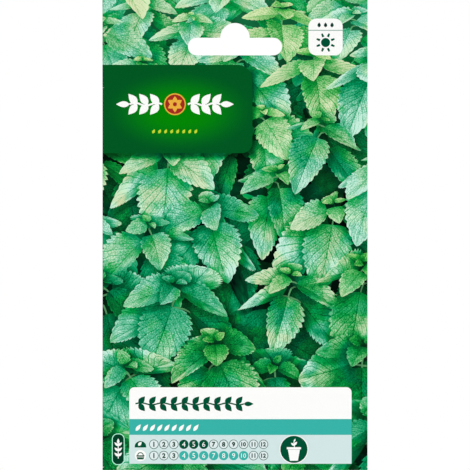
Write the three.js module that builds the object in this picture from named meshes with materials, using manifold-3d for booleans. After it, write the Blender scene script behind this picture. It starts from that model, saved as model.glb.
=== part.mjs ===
// A hanging seed packet: one printed paper blank folded into a flat envelope, its glue films,
// a sealed glassine sachet inside it, and the seeds that lie in the bottom of the sachet.
// Units are millimetres. +Z is up, +X is to the right seen from the front, and the front faces -Y.
// The origin is where a display hook bears: the top of the slot's dome, midway through the front ply.
import * as THREE from "three";
import { mergeVertices } from "three/addons/utils/BufferGeometryUtils.js";
import Module from "manifold-3d";

const wasm = await Module();
wasm.setup();

// ---------- Driving dimensions ----------

const WIDTH = 90;
const HEIGHT = 160;
const PAPER = 0.2; // thickness of the blank
const PLY_GAP = 0.3; // between two plies that a glue film holds
const CAVITY = 1; // between the front and back panels at their edges

const SLOT = { width: 32, height: 6, domeRadius: 5, domeBelowTop: 8 };

const TOP_FLAP = { length: 42, taper: 2.5, corner: 5 };
const BOTTOM_FLAP = { length: 15, taper: 2, corner: 5 };
const SIDE_FLAP = { width: 12, taper: 3 };
const BACK_PANEL = { belowTop: 30, aboveBottom: 1.3, edgeInset: 1.1 };

// The low belly that the seeds give the packet. lean puts its deepest point below the middle.
const BELLY = { halfWidth: 41, low: 3, high: 116, lean: 0.55, front: 1.7, back: 1.3 };

const FILM = 0.1; // thickness of the sachet's glassine
const SACHET = { width: 70, height: 100, shiftX: -4.5, clear: 0.4 };
const POUCH = { halfWidth: 30, low: 6, high: 94, lean: 0.5, front: 1.45, back: 1.05 };

const GLUE = { thickness: 0.1, inset: 1.2, headerWidth: 20, headerHeight: 18 };

const SEED = { length: 1.7, width: 1.05, depth: 0.85, sides: 6 };
const HEAP = { halfWidth: 10, height: 8, low: 12.8, pitchX: 1.42, pitchZ: 0.9, hollow: 0.02, fan: 0.9 };

const FOLD_STEPS = 6; // facets round one 180 degree fold
const BELLY_ROWS = 15;
const BELLY_COLUMNS = 12;
const CORNER_STEPS = 4; // rows that round a flap's corner

// ---------- Levels worked out from them ----------

const TOP = SLOT.domeBelowTop;
const BOTTOM = TOP - HEIGHT;
const SIDE = WIDTH / 2;
const HALF_PAPER = PAPER / 2;

// Depth in Y of each ply's middle, from the front ply at 0.
const PLY = { front: 0, header: PAPER + PLY_GAP, back: PAPER + CAVITY };
PLY.side = PLY.back - PAPER - PLY_GAP;
PLY.flap = PLY.back + PAPER + PLY_GAP;

// Folds: the radius of the blank's middle, and where the flat front ply starts to turn.
const FOLD = {
  top: PLY.header / 2,
  bottom: PLY.flap / 2,
  left: PLY.back / 2,
  right: PLY.side / 2,
};
const TURN = {
  top: TOP - HALF_PAPER - FOLD.top,
  bottom: BOTTOM + HALF_PAPER + FOLD.bottom,
  left: -SIDE + HALF_PAPER + FOLD.left,
  right: SIDE - HALF_PAPER - FOLD.right,
};
const BACK_TOP = TOP - BACK_PANEL.belowTop;
const BACK_BOTTOM = BOTTOM + BACK_PANEL.aboveBottom;
const RELIEF = 0.3; // height of the small nick that frees each end of a side fold
const TOP_FLAP_END = TOP - TOP_FLAP.length;
const BOTTOM_FLAP_END = BOTTOM + BOTTOM_FLAP.length;

// The top flap lies on the front ply in the header, then steps back over the back panel's edge.
const STEP = { from: BACK_TOP + 7, to: BACK_TOP + 1, rise: PLY.flap - PLY.header };

// ---------- Shape functions ----------

// A smooth rise from 0 to 1 as value goes from a to b, in either direction.
const ease = (a, b, value) => {
  const t = THREE.MathUtils.clamp((value - a) / (b - a), 0, 1);
  return t * t * (3 - 2 * t);
};

// Share from 0 to 1 of a belly's full depth at a point, flat all round its rim.
function swell(x, z, { halfWidth, low, high, lean }, centreX = 0, base = BOTTOM) {
  const across = (x - centreX) / halfWidth;
  const along = (z - base - low) / (high - low);
  if (Math.abs(across) >= 1 || along <= 0 || along >= 1) return 0;
  return (1 - across ** 2) ** 2 * Math.sin(Math.PI * along ** lean) ** 2;
}

const frontY = (x, z) => -BELLY.front * swell(x, z, BELLY);
const backY = (x, z) => BELLY.back * swell(x, z, BELLY);
const topFlapY = (x, z) => STEP.rise * ease(STEP.from, STEP.to, z) + backY(x, z);

// How far a flap's end has been drawn in at a distance from its free edge: its taper, with round corners.
function flapInset({ length, taper, corner }, fromEdge) {
  const slant = taper * (1 - fromEdge / length);
  const round = fromEdge < corner ? corner - Math.sqrt(corner ** 2 - (corner - fromEdge) ** 2) : 0;
  return slant + round;
}

// ---------- Mesh helpers ----------

// The bare closed surface of a geometry, with shared vertices merged.
function bare(geometry) {
  geometry.deleteAttribute("normal");
  geometry.deleteAttribute("uv");
  return mergeVertices(geometry, 1e-4);
}

function solid(geometry) {
  const closed = bare(geometry);
  return new wasm.Manifold(
    new wasm.Mesh({
      numProp: 3,
      vertProperties: closed.attributes.position.array,
      triVerts: new Uint32Array(closed.index.array),
    }),
  );
}

function geometryOf(manifold) {
  const { vertProperties, triVerts } = manifold.getMesh();
  return new THREE.BufferGeometry()
    .setAttribute("position", new THREE.BufferAttribute(vertProperties, 3))
    .setIndex(new THREE.BufferAttribute(triVerts, 1));
}

// Stations along a bent section: each curve of the path cut into its own number of steps.
// out is the side of the paper that shows when the packet is closed.
function stations(path, steps) {
  return path.curves.flatMap((curve, i) =>
    Array.from({ length: steps[i] + (i ? 0 : 1) }, (_, k) => {
      const t = (k + (i ? 1 : 0)) / steps[i];
      const tangent = curve.getTangent(t);
      return { at: curve.getPoint(t), out: new THREE.Vector2(-tangent.y, tangent.x) };
    }),
  );
}

// A thin closed sheet: a box with one layer, columns by rows, whose vertices place() puts in space.
// place() gets the column, the share from 0 to 1 across the rows, and -1 or 1 for the inner or outer face.
function sheet(columns, rows, place) {
  const geometry = new THREE.BoxGeometry(1, 1, 1, columns, rows, 1);
  const position = geometry.getAttribute("position");
  const point = new THREE.Vector3();
  for (let i = 0; i < position.count; i++) {
    point.fromBufferAttribute(position, i);
    const column = Math.round((point.x + 0.5) * columns);
    const placed = place(column, 0.5 - point.y, Math.sign(point.z));
    position.setXYZ(i, placed.x, placed.y, placed.z);
  }
  return bare(geometry);
}

// ---------- The envelope ----------

// The front panel with the top and bottom flaps: one strip bent in the YZ plane.
function frontStrip() {
  const path = new THREE.Path();
  path.moveTo(PLY.flap, BOTTOM_FLAP_END);
  path.lineTo(PLY.flap, BOTTOM_FLAP_END - BOTTOM_FLAP.corner);
  path.lineTo(PLY.flap, TURN.bottom);
  path.absarc(FOLD.bottom, TURN.bottom, FOLD.bottom, 0, -Math.PI, true);
  path.lineTo(PLY.front, BACK_BOTTOM);
  path.lineTo(PLY.front, BACK_TOP);
  path.lineTo(PLY.front, BACK_TOP + RELIEF);
  path.lineTo(PLY.front, TURN.top);
  path.absarc(FOLD.top, TURN.top, FOLD.top, Math.PI, 0, true);
  path.lineTo(PLY.header, STEP.from);
  path.lineTo(PLY.header, STEP.to);
  path.lineTo(PLY.header, TOP_FLAP_END + TOP_FLAP.corner);
  path.lineTo(PLY.header, TOP_FLAP_END);
  const curves = { bottomFold: 2, sideFolds: 4, topFold: 7 };
  const steps = [CORNER_STEPS, 2, FOLD_STEPS, 1, BELLY_ROWS, 1, 2, FOLD_STEPS, 2, 5, 1, CORNER_STEPS];
  const ends = steps.map((_, i) => steps.slice(0, i + 1).reduce((sum, n) => sum + n, 0));
  const rows = stations(path, steps);

  return sheet(rows.length - 1, BELLY_COLUMNS, (column, share, face) => {
    const { at, out } = rows[column];
    const z = at.y + (out.y * face * PAPER) / 2;
    const across = 2 * share - 1;
    const onBottomFlap = column < ends[curves.bottomFold];
    const onTopFlap = column > ends[curves.topFold - 1];
    const beside = column >= ends[curves.sideFolds - 1] && column <= ends[curves.sideFolds];
    let reach = SIDE;
    if (beside) reach = across < 0 ? -TURN.left : TURN.right;
    if (onBottomFlap) reach -= flapInset(BOTTOM_FLAP, Math.max(0, BOTTOM_FLAP_END - at.y));
    if (onTopFlap) reach -= flapInset(TOP_FLAP, Math.max(0, at.y - TOP_FLAP_END));
    const x = across * reach;
    const y = at.x + (out.x * face * PAPER) / 2;
    if (onBottomFlap) return new THREE.Vector3(x, y + backY(x, at.y), z);
    if (onTopFlap) return new THREE.Vector3(x, y + topFlapY(x, at.y), z);
    return new THREE.Vector3(x, y + frontY(x, at.y), z);
  });
}

const OVERLAP = 0.4; // how far the side strips run into the front strip, to be joined with it

// The back panel, round the left fold: a strip bent in the XY plane.
function backStrip() {
  const path = new THREE.Path();
  path.moveTo(TURN.left + OVERLAP, PLY.front);
  path.lineTo(TURN.left, PLY.front);
  path.absarc(TURN.left, FOLD.left, FOLD.left, -Math.PI / 2, -1.5 * Math.PI, true);
  path.lineTo(SIDE - BACK_PANEL.edgeInset, PLY.back);
  const columns = stations(path, [1, FOLD_STEPS, BELLY_COLUMNS]);
  return sheet(columns.length - 1, BELLY_ROWS, (column, share, face) => {
    const { at, out } = columns[column];
    const z = THREE.MathUtils.lerp(BACK_BOTTOM, BACK_TOP, share);
    const x = at.x + (out.x * face * PAPER) / 2;
    const y = at.y + (out.y * face * PAPER) / 2;
    return new THREE.Vector3(x, y + (column > FOLD_STEPS ? backY(at.x, z) : 0), z);
  });
}

// The glue flap, round the right fold, which the back panel is glued over.
function sideStrip() {
  const freeEdge = SIDE - SIDE_FLAP.width;
  const path = new THREE.Path();
  path.moveTo(freeEdge, PLY.side);
  path.lineTo(TURN.right, PLY.side);
  path.absarc(TURN.right, FOLD.right, FOLD.right, Math.PI / 2, -Math.PI / 2, true);
  path.lineTo(TURN.right - OVERLAP, PLY.front);
  const flat = 4;
  const columns = stations(path, [flat, FOLD_STEPS, 1]);
  return sheet(columns.length - 1, BELLY_ROWS, (column, share, face) => {
    const { at, out } = columns[column];
    const taper = column < flat ? SIDE_FLAP.taper * (1 - column / flat) : 0;
    const z = THREE.MathUtils.lerp(BACK_BOTTOM + taper, BACK_TOP - taper, share);
    const x = at.x + (out.x * face * PAPER) / 2;
    const y = at.y + (out.y * face * PAPER) / 2;
    return new THREE.Vector3(x, y + (column < flat ? backY(at.x, z) : 0), z);
  });
}

// The hang slot, a bar with round ends and a dome over its middle, as a plug through the header.
function slotPlug() {
  const { width, height, domeRadius } = SLOT;
  const end = height / 2;
  const barTop = -domeRadius;
  const bar = width / 2 - end;
  const shape = new THREE.Shape();
  shape.moveTo(-bar, barTop - height);
  shape.lineTo(bar, barTop - height);
  shape.absarc(bar, barTop - end, end, -Math.PI / 2, Math.PI / 2, false);
  shape.lineTo(domeRadius, barTop);
  shape.absarc(0, barTop, domeRadius, 0, Math.PI, false);
  shape.lineTo(-bar, barTop);
  shape.absarc(-bar, barTop - end, end, Math.PI / 2, 1.5 * Math.PI, false);
  const depth = 4 * PLY.header;
  const geometry = new THREE.ExtrudeGeometry(shape, { depth, bevelEnabled: false, curveSegments: 12 });
  return geometry.rotateX(Math.PI / 2).translate(0, (depth + PLY.header) / 2, 0);
}

function envelope() {
  return geometryOf(
    solid(frontStrip())
      .add(solid(backStrip()))
      .add(solid(sideStrip()))
      .subtract(solid(slotPlug())),
  );
}

// ---------- Glue films ----------

// A film of dried glue that follows a ply: x and z ranges, the depth of its middle, and the ply's bulge.
function glueFilm([x0, x1], [z0, z1], depth, bulge, columns, rows) {
  return sheet(columns, rows, (column, share, face) => {
    const x = THREE.MathUtils.lerp(x1, x0, column / columns);
    const z = THREE.MathUtils.lerp(z0, z1, share);
    const y = depth - (face * GLUE.thickness) / 2 + bulge(x, z);
    return new THREE.Vector3(x, y, z);
  });
}

const sideGlue = () =>
  glueFilm(
    [SIDE - SIDE_FLAP.width + GLUE.inset, SIDE - BACK_PANEL.edgeInset - GLUE.inset],
    [BACK_BOTTOM + SIDE_FLAP.taper + GLUE.inset, BACK_TOP - SIDE_FLAP.taper - GLUE.inset],
    (PLY.side + PLY.back) / 2,
    backY,
    2,
    BELLY_ROWS,
  );

function flapGlue(flapEnd, reach, toward) {
  const edge = SIDE - reach;
  const range = [flapEnd - toward * GLUE.inset, flapEnd - toward * (GLUE.inset + 8)];
  return glueFilm([-edge, edge], range.sort((a, b) => a - b), (PLY.back + PLY.flap) / 2, backY, BELLY_COLUMNS, 2);
}

function headerGlue(sign) {
  const outer = sign * (SIDE - 3 * GLUE.inset);
  const inner = outer - sign * GLUE.headerWidth;
  const range = [outer, inner].sort((a, b) => a - b);
  const high = TURN.top - GLUE.inset;
  return glueFilm(range, [high - GLUE.headerHeight, high], PLY.header / 2, () => 0, 1, 1);
}

// ---------- The sachet and its seeds ----------

const SACHET_BOTTOM = BOTTOM + PAPER + SACHET.clear;
const SACHET_PLANE = PLY.back / 2; // where the two films are sealed face to face

const pouch = (x, z) => swell(x, z, POUCH, SACHET.shiftX, SACHET_BOTTOM);

// One film of the sachet: side is -1 for the front film and 1 for the back film.
function sachetFilm(side, depth) {
  return sheet(BELLY_COLUMNS, BELLY_ROWS, (column, share, face) => {
    const x = SACHET.shiftX + SACHET.width * (0.5 - column / BELLY_COLUMNS);
    const z = SACHET_BOTTOM + SACHET.height * share;
    const skin = face === -side ? FILM : 0;
    return new THREE.Vector3(x, SACHET_PLANE + side * (skin + depth * pouch(x, z)), z);
  });
}

// One seed: a drop with a pointed end, standing along Y of its own frame.
function seedGeometry() {
  const half = SEED.length / 2;
  const profile = [
    new THREE.Vector2(0, -half),
    new THREE.Vector2(SEED.width * 0.46, -half * 0.5),
    new THREE.Vector2(SEED.width * 0.5, half * 0.15),
    new THREE.Vector2(0, half),
  ];
  return new THREE.LatheGeometry(profile, SEED.sides).scale(SEED.depth / SEED.width, 1, 1);
}

// Park and Miller's generator, so that the heap is the same each time.
function randomFrom(seed) {
  let state = seed;
  return () => {
    state = (state * 48271) % 2147483647;
    return state / 2147483647;
  };
}

// The seeds lie close together in the sachet's lowest part, in a low mound, and are joined where they touch.
function seedHeap() {
  const random = randomFrom(177);
  const floor = BOTTOM + HEAP.low;
  let heap = null;
  for (let row = 0; row * HEAP.pitchZ < HEAP.height; row++) {
    const rise = row * HEAP.pitchZ;
    const reach = HEAP.halfWidth * Math.sqrt(1 - (rise / HEAP.height) ** 2);
    const shift = (row % 2) * (HEAP.pitchX / 2);
    for (let x = -Math.floor(reach / HEAP.pitchX) * HEAP.pitchX + shift; x <= reach; x += HEAP.pitchX) {
      const place = new THREE.Vector3(SACHET.shiftX + x, 0, floor + rise + HEAP.hollow * x ** 2);
      const middle = (POUCH.back - POUCH.front) / 2;
      place.y = SACHET_PLANE + middle * pouch(place.x, place.z) + 0.1 * (random() - 0.5);
      const turn = new THREE.Euler(0.2 * (random() - 0.5), HEAP.fan * (random() - 0.5), Math.PI / 2);
      const frame = new THREE.Matrix4().makeRotationFromEuler(turn).setPosition(place);
      const seed = solid(seedGeometry().applyMatrix4(frame));
      heap = heap ? heap.add(seed) : seed;
    }
  }
  const bodies = heap.decompose().sort((a, b) => b.volume() - a.volume());
  return geometryOf(bodies[0]);
}

// ---------- Materials and the finished group ----------

const MATERIALS = {
  printed_paper: new THREE.MeshStandardMaterial({ color: 0x4fa874, roughness: 0.35, metalness: 0 }),
  glue: new THREE.MeshStandardMaterial({ color: 0xe6dfc6, roughness: 0.5, metalness: 0 }),
  glassine: new THREE.MeshStandardMaterial({ color: 0xe9eadf, roughness: 0.4, metalness: 0 }),
  seed_coat: new THREE.MeshStandardMaterial({ color: 0x3d2a1c, roughness: 0.7, metalness: 0 }),
};

const packet = new THREE.Group();

function piece(name, geometry, material) {
  const mesh = new THREE.Mesh(geometry, MATERIALS[material]);
  mesh.name = name;
  packet.add(mesh);
}

piece("envelope", envelope(), "printed_paper");
piece("side_seam_glue", sideGlue(), "glue");
piece("bottom_flap_glue", flapGlue(BOTTOM_FLAP_END, 8, 1), "glue");
piece("top_flap_glue", flapGlue(TOP_FLAP_END, 8, -1), "glue");
piece("header_glue_left", headerGlue(-1), "glue");
piece("header_glue_right", headerGlue(1), "glue");
piece("sachet_front_film", sachetFilm(-1, POUCH.front), "glassine");
piece("sachet_back_film", sachetFilm(1, POUCH.back), "glassine");
piece("seeds", seedHeap(), "seed_coat");

export default packet;
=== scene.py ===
"""A hanging seed packet: a folded and printed paper envelope with its glue films, sachet and seeds.

The print is drawn on the flat die-cut blank as outlined shapes (leaves, panels, circles, figures), which one
constrained triangulation merges into a single skin. The skin is then folded into the packet. What a leaf or
an ink looks like at a point is carried by corner attributes, and the materials turn those into colour.
Lengths are in millimetres on the blank and on the printed bed of plants, and in metres in the scene.
"""

import math
import random
from collections import namedtuple

import bpy
import numpy as np
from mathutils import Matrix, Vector, geometry


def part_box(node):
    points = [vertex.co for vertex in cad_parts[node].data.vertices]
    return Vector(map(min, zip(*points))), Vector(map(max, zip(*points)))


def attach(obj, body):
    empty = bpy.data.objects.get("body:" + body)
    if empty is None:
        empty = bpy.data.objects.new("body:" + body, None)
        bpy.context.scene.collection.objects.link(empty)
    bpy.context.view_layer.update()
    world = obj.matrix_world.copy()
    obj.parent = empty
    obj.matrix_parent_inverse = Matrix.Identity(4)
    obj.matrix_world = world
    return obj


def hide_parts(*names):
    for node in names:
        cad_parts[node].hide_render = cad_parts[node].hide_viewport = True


bl_info = {
    "name": "Seed Packet",
    "version": (1, 0, 0),
    "blender": (4, 5, 0),
    "location": "3D View > Sidebar > Packet",
    "description": "Builds a printed paper seed packet with its sachet and seeds",
    "category": "Add Mesh",
}

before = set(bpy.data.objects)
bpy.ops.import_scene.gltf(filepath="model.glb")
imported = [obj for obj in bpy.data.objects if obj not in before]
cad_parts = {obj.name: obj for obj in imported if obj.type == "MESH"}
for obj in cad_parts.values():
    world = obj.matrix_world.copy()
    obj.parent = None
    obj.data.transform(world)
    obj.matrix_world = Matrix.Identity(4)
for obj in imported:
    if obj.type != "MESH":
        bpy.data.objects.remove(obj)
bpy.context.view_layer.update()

# The envelope's size in millimetres, and where its ends and sides lie from the origin, the top of the slot.
MM = 0.001
LOW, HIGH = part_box("envelope")
WIDTH = round((HIGH.x - LOW.x) / MM, 2)
HEIGHT = round((HIGH.z - LOW.z) / MM, 2)
TOP = round(HIGH.z / MM, 2)
BOTTOM = TOP - HEIGHT
MIDDLE = (TOP + BOTTOM) / 2
SIDE = WIDTH / 2


def ink(red, green, blue):
    """A screen colour, 0 to 255 a channel, as the linear colour that the shaders use."""
    shares = [channel / 255 for channel in (red, green, blue)]
    return tuple(c / 12.92 if c <= 0.04045 else ((c + 0.055) / 1.055) ** 2.4 for c in shares)


WHITE = ink(253, 253, 251)
TEAL = ink(57, 179, 168)
PALE_BLUE = ink(211, 231, 230)
DARK_GREEN = ink(0, 80, 52)
RING_GREY = ink(14, 76, 60)
FIGURE_GREY = ink(0, 58, 42)
LIME = ink(196, 216, 50)
GOLD = ink(236, 176, 62)
BRICK = ink(160, 44, 34)
LABEL_CORE = ink(3, 134, 4)
LABEL_EDGE = ink(1, 87, 34)
GAP_GREEN = ink(1, 22, 14)
FAR_GREEN = ink(22, 114, 68)
STALK = ink(104, 180, 118)
CREAM = ink(222, 222, 178)
TAB_RULE = ink(150, 176, 166)
RING_PAPER = ink(226, 238, 238)
PILL_LINE = ink(186, 252, 224)
PILL_GREEN = ink(3, 62, 38)
POT_SHADOW = ink(196, 200, 196)
BACK_PAPER = ink(244, 249, 246)
TEXT_GREEN = ink(120, 160, 142)
NOTE_GREEN = ink(150, 178, 164)

# Attributes that carry the print from the mesh to the material.
INK = "print_ink"  # flat colour
PLACE = "leaf_place"  # share along the leaf, signed share across it, scale
LOOK = "leaf_look"  # tone, sheen, warmth
LIGHT = "leaf_light"  # shade from what lies over it, the leaf's own draw, 1 on a leaf and 0 on flat ink


# ---------- Sizes and colours that a user would change ----------


def length_prop(name, description, millimetres):
    return bpy.props.FloatProperty(
        name=name, description=description, default=millimetres * MM, unit="LENGTH", precision=5
    )


def colour_prop(name, description, default):
    return bpy.props.FloatVectorProperty(
        name=name, description=description, subtype="COLOR", default=default, min=0, max=1
    )


class PacketSizes(bpy.types.PropertyGroup):
    paper: length_prop("Paper", "Thickness of the blank", 0.2)
    ply_gap: length_prop("Ply gap", "Between two glued plies", 0.3)
    cavity: length_prop("Cavity", "Between front and back at the edges", 1.0)
    front_belly: length_prop("Front belly", "How far the front swells", 1.7)
    back_belly: length_prop("Back belly", "How far the back swells", 1.3)


class PrintInks(bpy.types.PropertyGroup):
    band: colour_prop("Band", "Ink of the title panel's band", TEAL)
    dark: colour_prop("Dark ink", "Ink of the ornaments and discs", DARK_GREEN)
    white: colour_prop("White", "Unprinted coated paper", WHITE)


class FoliageLook(bpy.types.PropertyGroup):
    draw: bpy.props.IntProperty(name="Draw", description="Picks another random layout", default=46, min=0)
    sprig_gap: length_prop("Sprig gap", "Least distance between shoots", 21.2)
    leaf_length: length_prop("Leaf length", "Length of a grown leaf", 25.2)


class StageLook(bpy.types.PropertyGroup):
    distance: length_prop("Camera distance", "From the camera to the front panel", 1600)
    floor_drop: length_prop("Floor drop", "From the packet's foot to the floor", 60)


# ---------- Shader expressions ----------


class Signal:
    """An output socket on which Python's arithmetic adds Math nodes."""

    def __init__(self, paint, socket):
        self.paint = paint
        self.socket = socket

    def math(self, operation, *others):
        return self.paint.node("ShaderNodeMath", {"operation": operation}, dict(enumerate((self, *others))))

    def __add__(self, other):
        return self.math("ADD", other)

    def __mul__(self, other):
        return self.math("MULTIPLY", other)

    def __sub__(self, other):
        return self.math("SUBTRACT", other)

    def __rsub__(self, other):
        return self.paint.node("ShaderNodeMath", {"operation": "SUBTRACT"}, {0: other, 1: self})

    def __abs__(self):
        return self.math("ABSOLUTE")

    def split(self):
        return [self.paint.node("ShaderNodeSeparateXYZ", {}, {0: self}, axis) for axis in range(3)]

    def rise(self, start, end):
        """0 before start and 1 after end, smoothly in between; start may be the larger."""
        inputs = {"Value": self, "From Min": start, "From Max": end}
        return self.paint.node("ShaderNodeMapRange", {"interpolation_type": "SMOOTHSTEP"}, inputs)


class Paint:
    """A material written as expressions."""

    def __init__(self, name, **finish):
        self.material = bpy.data.materials.new(name)
        self.material.use_nodes = True
        self.tree = self.material.node_tree
        self.surface = self.tree.nodes["Principled BSDF"]
        self.finish(**finish)

    def feed(self, socket, value):
        """Links a socket to a signal, or sets its value; a colour comes without its alpha."""
        if isinstance(value, Signal):
            self.tree.links.new(value.socket, socket)
        else:
            socket.default_value = (*value, 1) if socket.type == "RGBA" else value

    def node(self, kind, settings, inputs, output=0):
        """Adds a node: its settings first, then what its sockets take."""
        made = self.tree.nodes.new(kind)
        for setting, value in settings.items():
            setattr(made, setting, value)
        for name, value in inputs.items():
            self.feed(made.inputs[name], value)
        return Signal(self, made.outputs[output])

    def finish(self, **values):
        """Gives the surface's own sockets what they take, by name with underscores for spaces."""
        for name, value in values.items():
            self.feed(self.surface.inputs[name.replace("_", " ")], value)

    def attribute(self, name):
        """A corner attribute, as a colour or as a vector."""
        output = 0 if name == INK else 1
        return self.node("ShaderNodeAttribute", {"attribute_name": name}, {}, output)

    def point(self, x, y, z):
        return self.node("ShaderNodeCombineXYZ", {}, {0: x, 1: y, 2: z})

    def mix(self, share, first, second, blend="MIX"):
        """Two colours, mixed by a share."""
        settings = {"data_type": "RGBA", "blend_type": blend, "clamp_factor": True}
        return self.node("ShaderNodeMix", settings, {0: share, 6: first, 7: second}, 2)

    def ramp(self, value, *stops):
        """A colour for each value; a stop is a value, and red, green and blue from 0 to 255."""
        made = self.node("ShaderNodeValToRGB", {}, {0: value})
        elements = made.socket.node.color_ramp.elements
        while len(elements) < len(stops):
            elements.new(0.5)
        for element, (position, *colour) in zip(elements, stops):
            element.position = position
            element.color = (*ink(*colour), 1)
        return made

    def noise(self, vector, scale, detail=2.0):
        return self.node("ShaderNodeTexNoise", {}, {"Vector": vector, "Scale": scale, "Detail": detail})

    def cells(self, vector, scale):
        """Distance to the nearest edge between cells."""
        settings = {"feature": "DISTANCE_TO_EDGE"}
        return self.node("ShaderNodeTexVoronoi", settings, {"Vector": vector, "Scale": scale})

    def relief(self, height, strength, distance):
        """Makes the surface as rough to the light as if it had this height."""
        bump = self.node("ShaderNodeBump", {}, {"Strength": strength, "Distance": distance, "Height": height})
        self.finish(Normal=bump)

    def coordinates(self):
        """The object's own coordinates, in metres."""
        return self.node("ShaderNodeTexCoord", {}, {}, 3)


# ---------- Papers, glue and seed coat ----------

# Greens of grown leaves, of young ones and of the bluest, from deep shade to full light.
GROWN = (
    (0.0, 2, 14, 6),
    (0.10, 3, 40, 18),
    (0.20, 3, 68, 30),
    (0.31, 5, 94, 45),
    (0.42, 2, 122, 52),
    (0.52, 0, 150, 62),
    (0.60, 2, 165, 80),
    (0.69, 50, 180, 108),
    (0.78, 113, 193, 144),
    (0.87, 149, 207, 167),
    (0.95, 179, 223, 187),
    (1.0, 204, 240, 204),
)
YOUNG = (
    (0.0, 2, 22, 4),
    (0.20, 3, 74, 20),
    (0.38, 8, 122, 40),
    (0.52, 4, 158, 52),
    (0.68, 82, 189, 84),
    (0.84, 162, 211, 130),
    (1.0, 222, 240, 184),
)
MARINE = (
    (0.0, 2, 16, 12),
    (0.20, 1, 66, 38),
    (0.42, 1, 118, 68),
    (0.60, 4, 161, 106),
    (0.78, 100, 193, 156),
    (1.0, 200, 240, 222),
)


def leaf_colour(paint):
    """The printed foliage: ribs, pleats and net of each leaf over its tone, and the shade on it."""
    along, across, scale = paint.attribute(PLACE).split()
    tone, sheen, warmth = paint.attribute(LOOK).split()
    shade, draw, leafy = paint.attribute(LIGHT).split()
    out = abs(across)

    # Side veins, eight to a leaf and swept forward; rank counts them from the foot, and pleats lie between.
    veins, sweep, bend = 8.0, 4.2, 0.9
    place = paint.point(along * 3.0, across * 1.3, draw * 61.0)
    wobble = paint.noise(place, 2.2)
    rank = along * veins - out * sweep + out * out * bend + (wobble - 0.5) * 0.5
    vein = rank.math("PINGPONG", 0.5).rise(0.13, 0.03)
    pleat = (rank * (2 * math.pi) + 1.2).math("SINE")
    rib = out.rise(0.05, 0.0)
    rim = out.rise(0.88, 1.0)

    # The fine net and grain of the blade, as fine on a large leaf as on a small one.
    net_place = paint.point(along * scale * 10.0, across * scale * 3.8, draw * 47.0)
    net = paint.cells(net_place, 2.5).rise(0.0, 0.16)
    grain = paint.noise(net_place, 7.0, 1.0) - 0.5

    # The sky's gloss lies on the outer half of a blade, in patches, and leaves the veins and the rib dark.
    reach = along.rise(-0.02, 0.85) * (out * 0.35 + 0.65)
    patch = paint.noise(place, 1.5).rise(0.3, 0.7)
    gloss = sheen * reach * (patch * 0.6 + 0.5)
    dip = vein * (gloss * 0.32 + 0.14) + rib * (gloss * 0.24 + 0.17)
    light = tone + gloss * 0.58 + (wobble - 0.5) * 0.2 + (patch - 0.5) * 0.06 + (along - 0.45) * 0.10
    relief = (net - 0.8) * 0.19 + grain * 0.4 + pleat * 0.03 - dip + rim * 0.08
    value = (light + relief * tone.rise(0.12, 0.5)) * shade

    # Bluer and yellower greens come and go over the bed, and the lightest of the yellower ones turn to cream.
    tint = paint.noise(paint.coordinates(), 110.0, 1.0).rise(0.34, 0.66)
    local = warmth + (tint - 0.5) * 1.4
    cool = paint.mix(local.rise(0.0, -0.75) * 0.95, paint.ramp(value, *GROWN), paint.ramp(value, *MARINE))
    green = paint.mix(warmth.rise(0.0, 1.0), cool, paint.ramp(value, *YOUNG))
    open_sky = (1 - vein) * value.rise(0.5, 0.9) * sheen
    foliage = paint.mix(open_sky * local.rise(0.0, 0.6) * 0.7, green, CREAM)
    return foliage, leafy, shade


def printed_paper():
    """Coated paper with the print, under a satin varnish that shines where it is seen aslant."""
    paint = Paint("printed_paper", Specular_IOR_Level=0.01, Coat_Roughness=0.2)
    foliage, leafy, shade = leaf_colour(paint)
    flat = paint.mix(1.0, paint.attribute(INK), paint.point(shade, shade, shade), "MULTIPLY")
    place = paint.coordinates()
    fibre = paint.noise(place, 900.0, 3.0)
    mottle = paint.noise(place, 60.0)
    aslant = paint.node("ShaderNodeLayerWeight", {}, {"Blend": 0.5}, 1)
    paint.finish(
        Base_Color=paint.mix(leafy, flat, foliage),
        Roughness=fibre * 0.10 + mottle * 0.10 + 0.30,
        Coat_Weight=aslant.rise(0.08, 0.7) * 0.5,
    )
    paint.relief(fibre * 0.6 + mottle, 0.06, 0.0002)
    return paint.material


def bare_paper():
    """The uncoated side of the paper and its cut edges."""
    paint = Paint("bare_paper", Specular_IOR_Level=0.2)
    place = paint.coordinates()
    fibre = paint.noise(place, 1400.0, 4.0)
    shade = fibre * 0.5 + paint.noise(place, 120.0) * 0.5
    white = paint.ramp(shade, (0.3, 226, 226, 220), (0.7, 246, 245, 240))
    paint.finish(Base_Color=white, Roughness=fibre * 0.15 + 0.72)
    paint.relief(fibre, 0.15, 0.0001)
    return paint.material


def dried_glue():
    """A thin film of dried paper glue, a little yellow, with drawn-out ridges."""
    paint = Paint("dried_glue", Specular_IOR_Level=0.45)
    drag = paint.noise(paint.coordinates(), 420.0, 3.0)
    yellow = paint.ramp(drag, (0.3, 208, 196, 156), (0.7, 238, 231, 208))
    paint.finish(Base_Color=yellow, Roughness=drag * 0.3 + 0.3)
    paint.relief(drag, 0.3, 0.0001)
    return paint.material


def glassine():
    """Smooth greaseproof paper with fine crinkles, painted darker along their creases as shade."""
    paint = Paint("glassine", Specular_IOR_Level=0.4)
    place = paint.coordinates()
    crinkle = paint.cells(place, 130.0).rise(0.0, 0.12)
    cloud = paint.noise(place, 260.0, 3.0)
    # Painted shade: the colour dips along the crinkles' creases, over a cloudy tone of the paper's own.
    milk_and_crease_shade = paint.ramp(crinkle * 0.3 + cloud * 0.7, (0.2, 208, 208, 190), (0.8, 238, 238, 226))
    paint.finish(Base_Color=milk_and_crease_shade, Roughness=cloud * 0.2 + 0.3)
    paint.relief(crinkle * 0.7 + cloud * 0.3, 0.3, 0.0002)
    return paint.material


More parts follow.
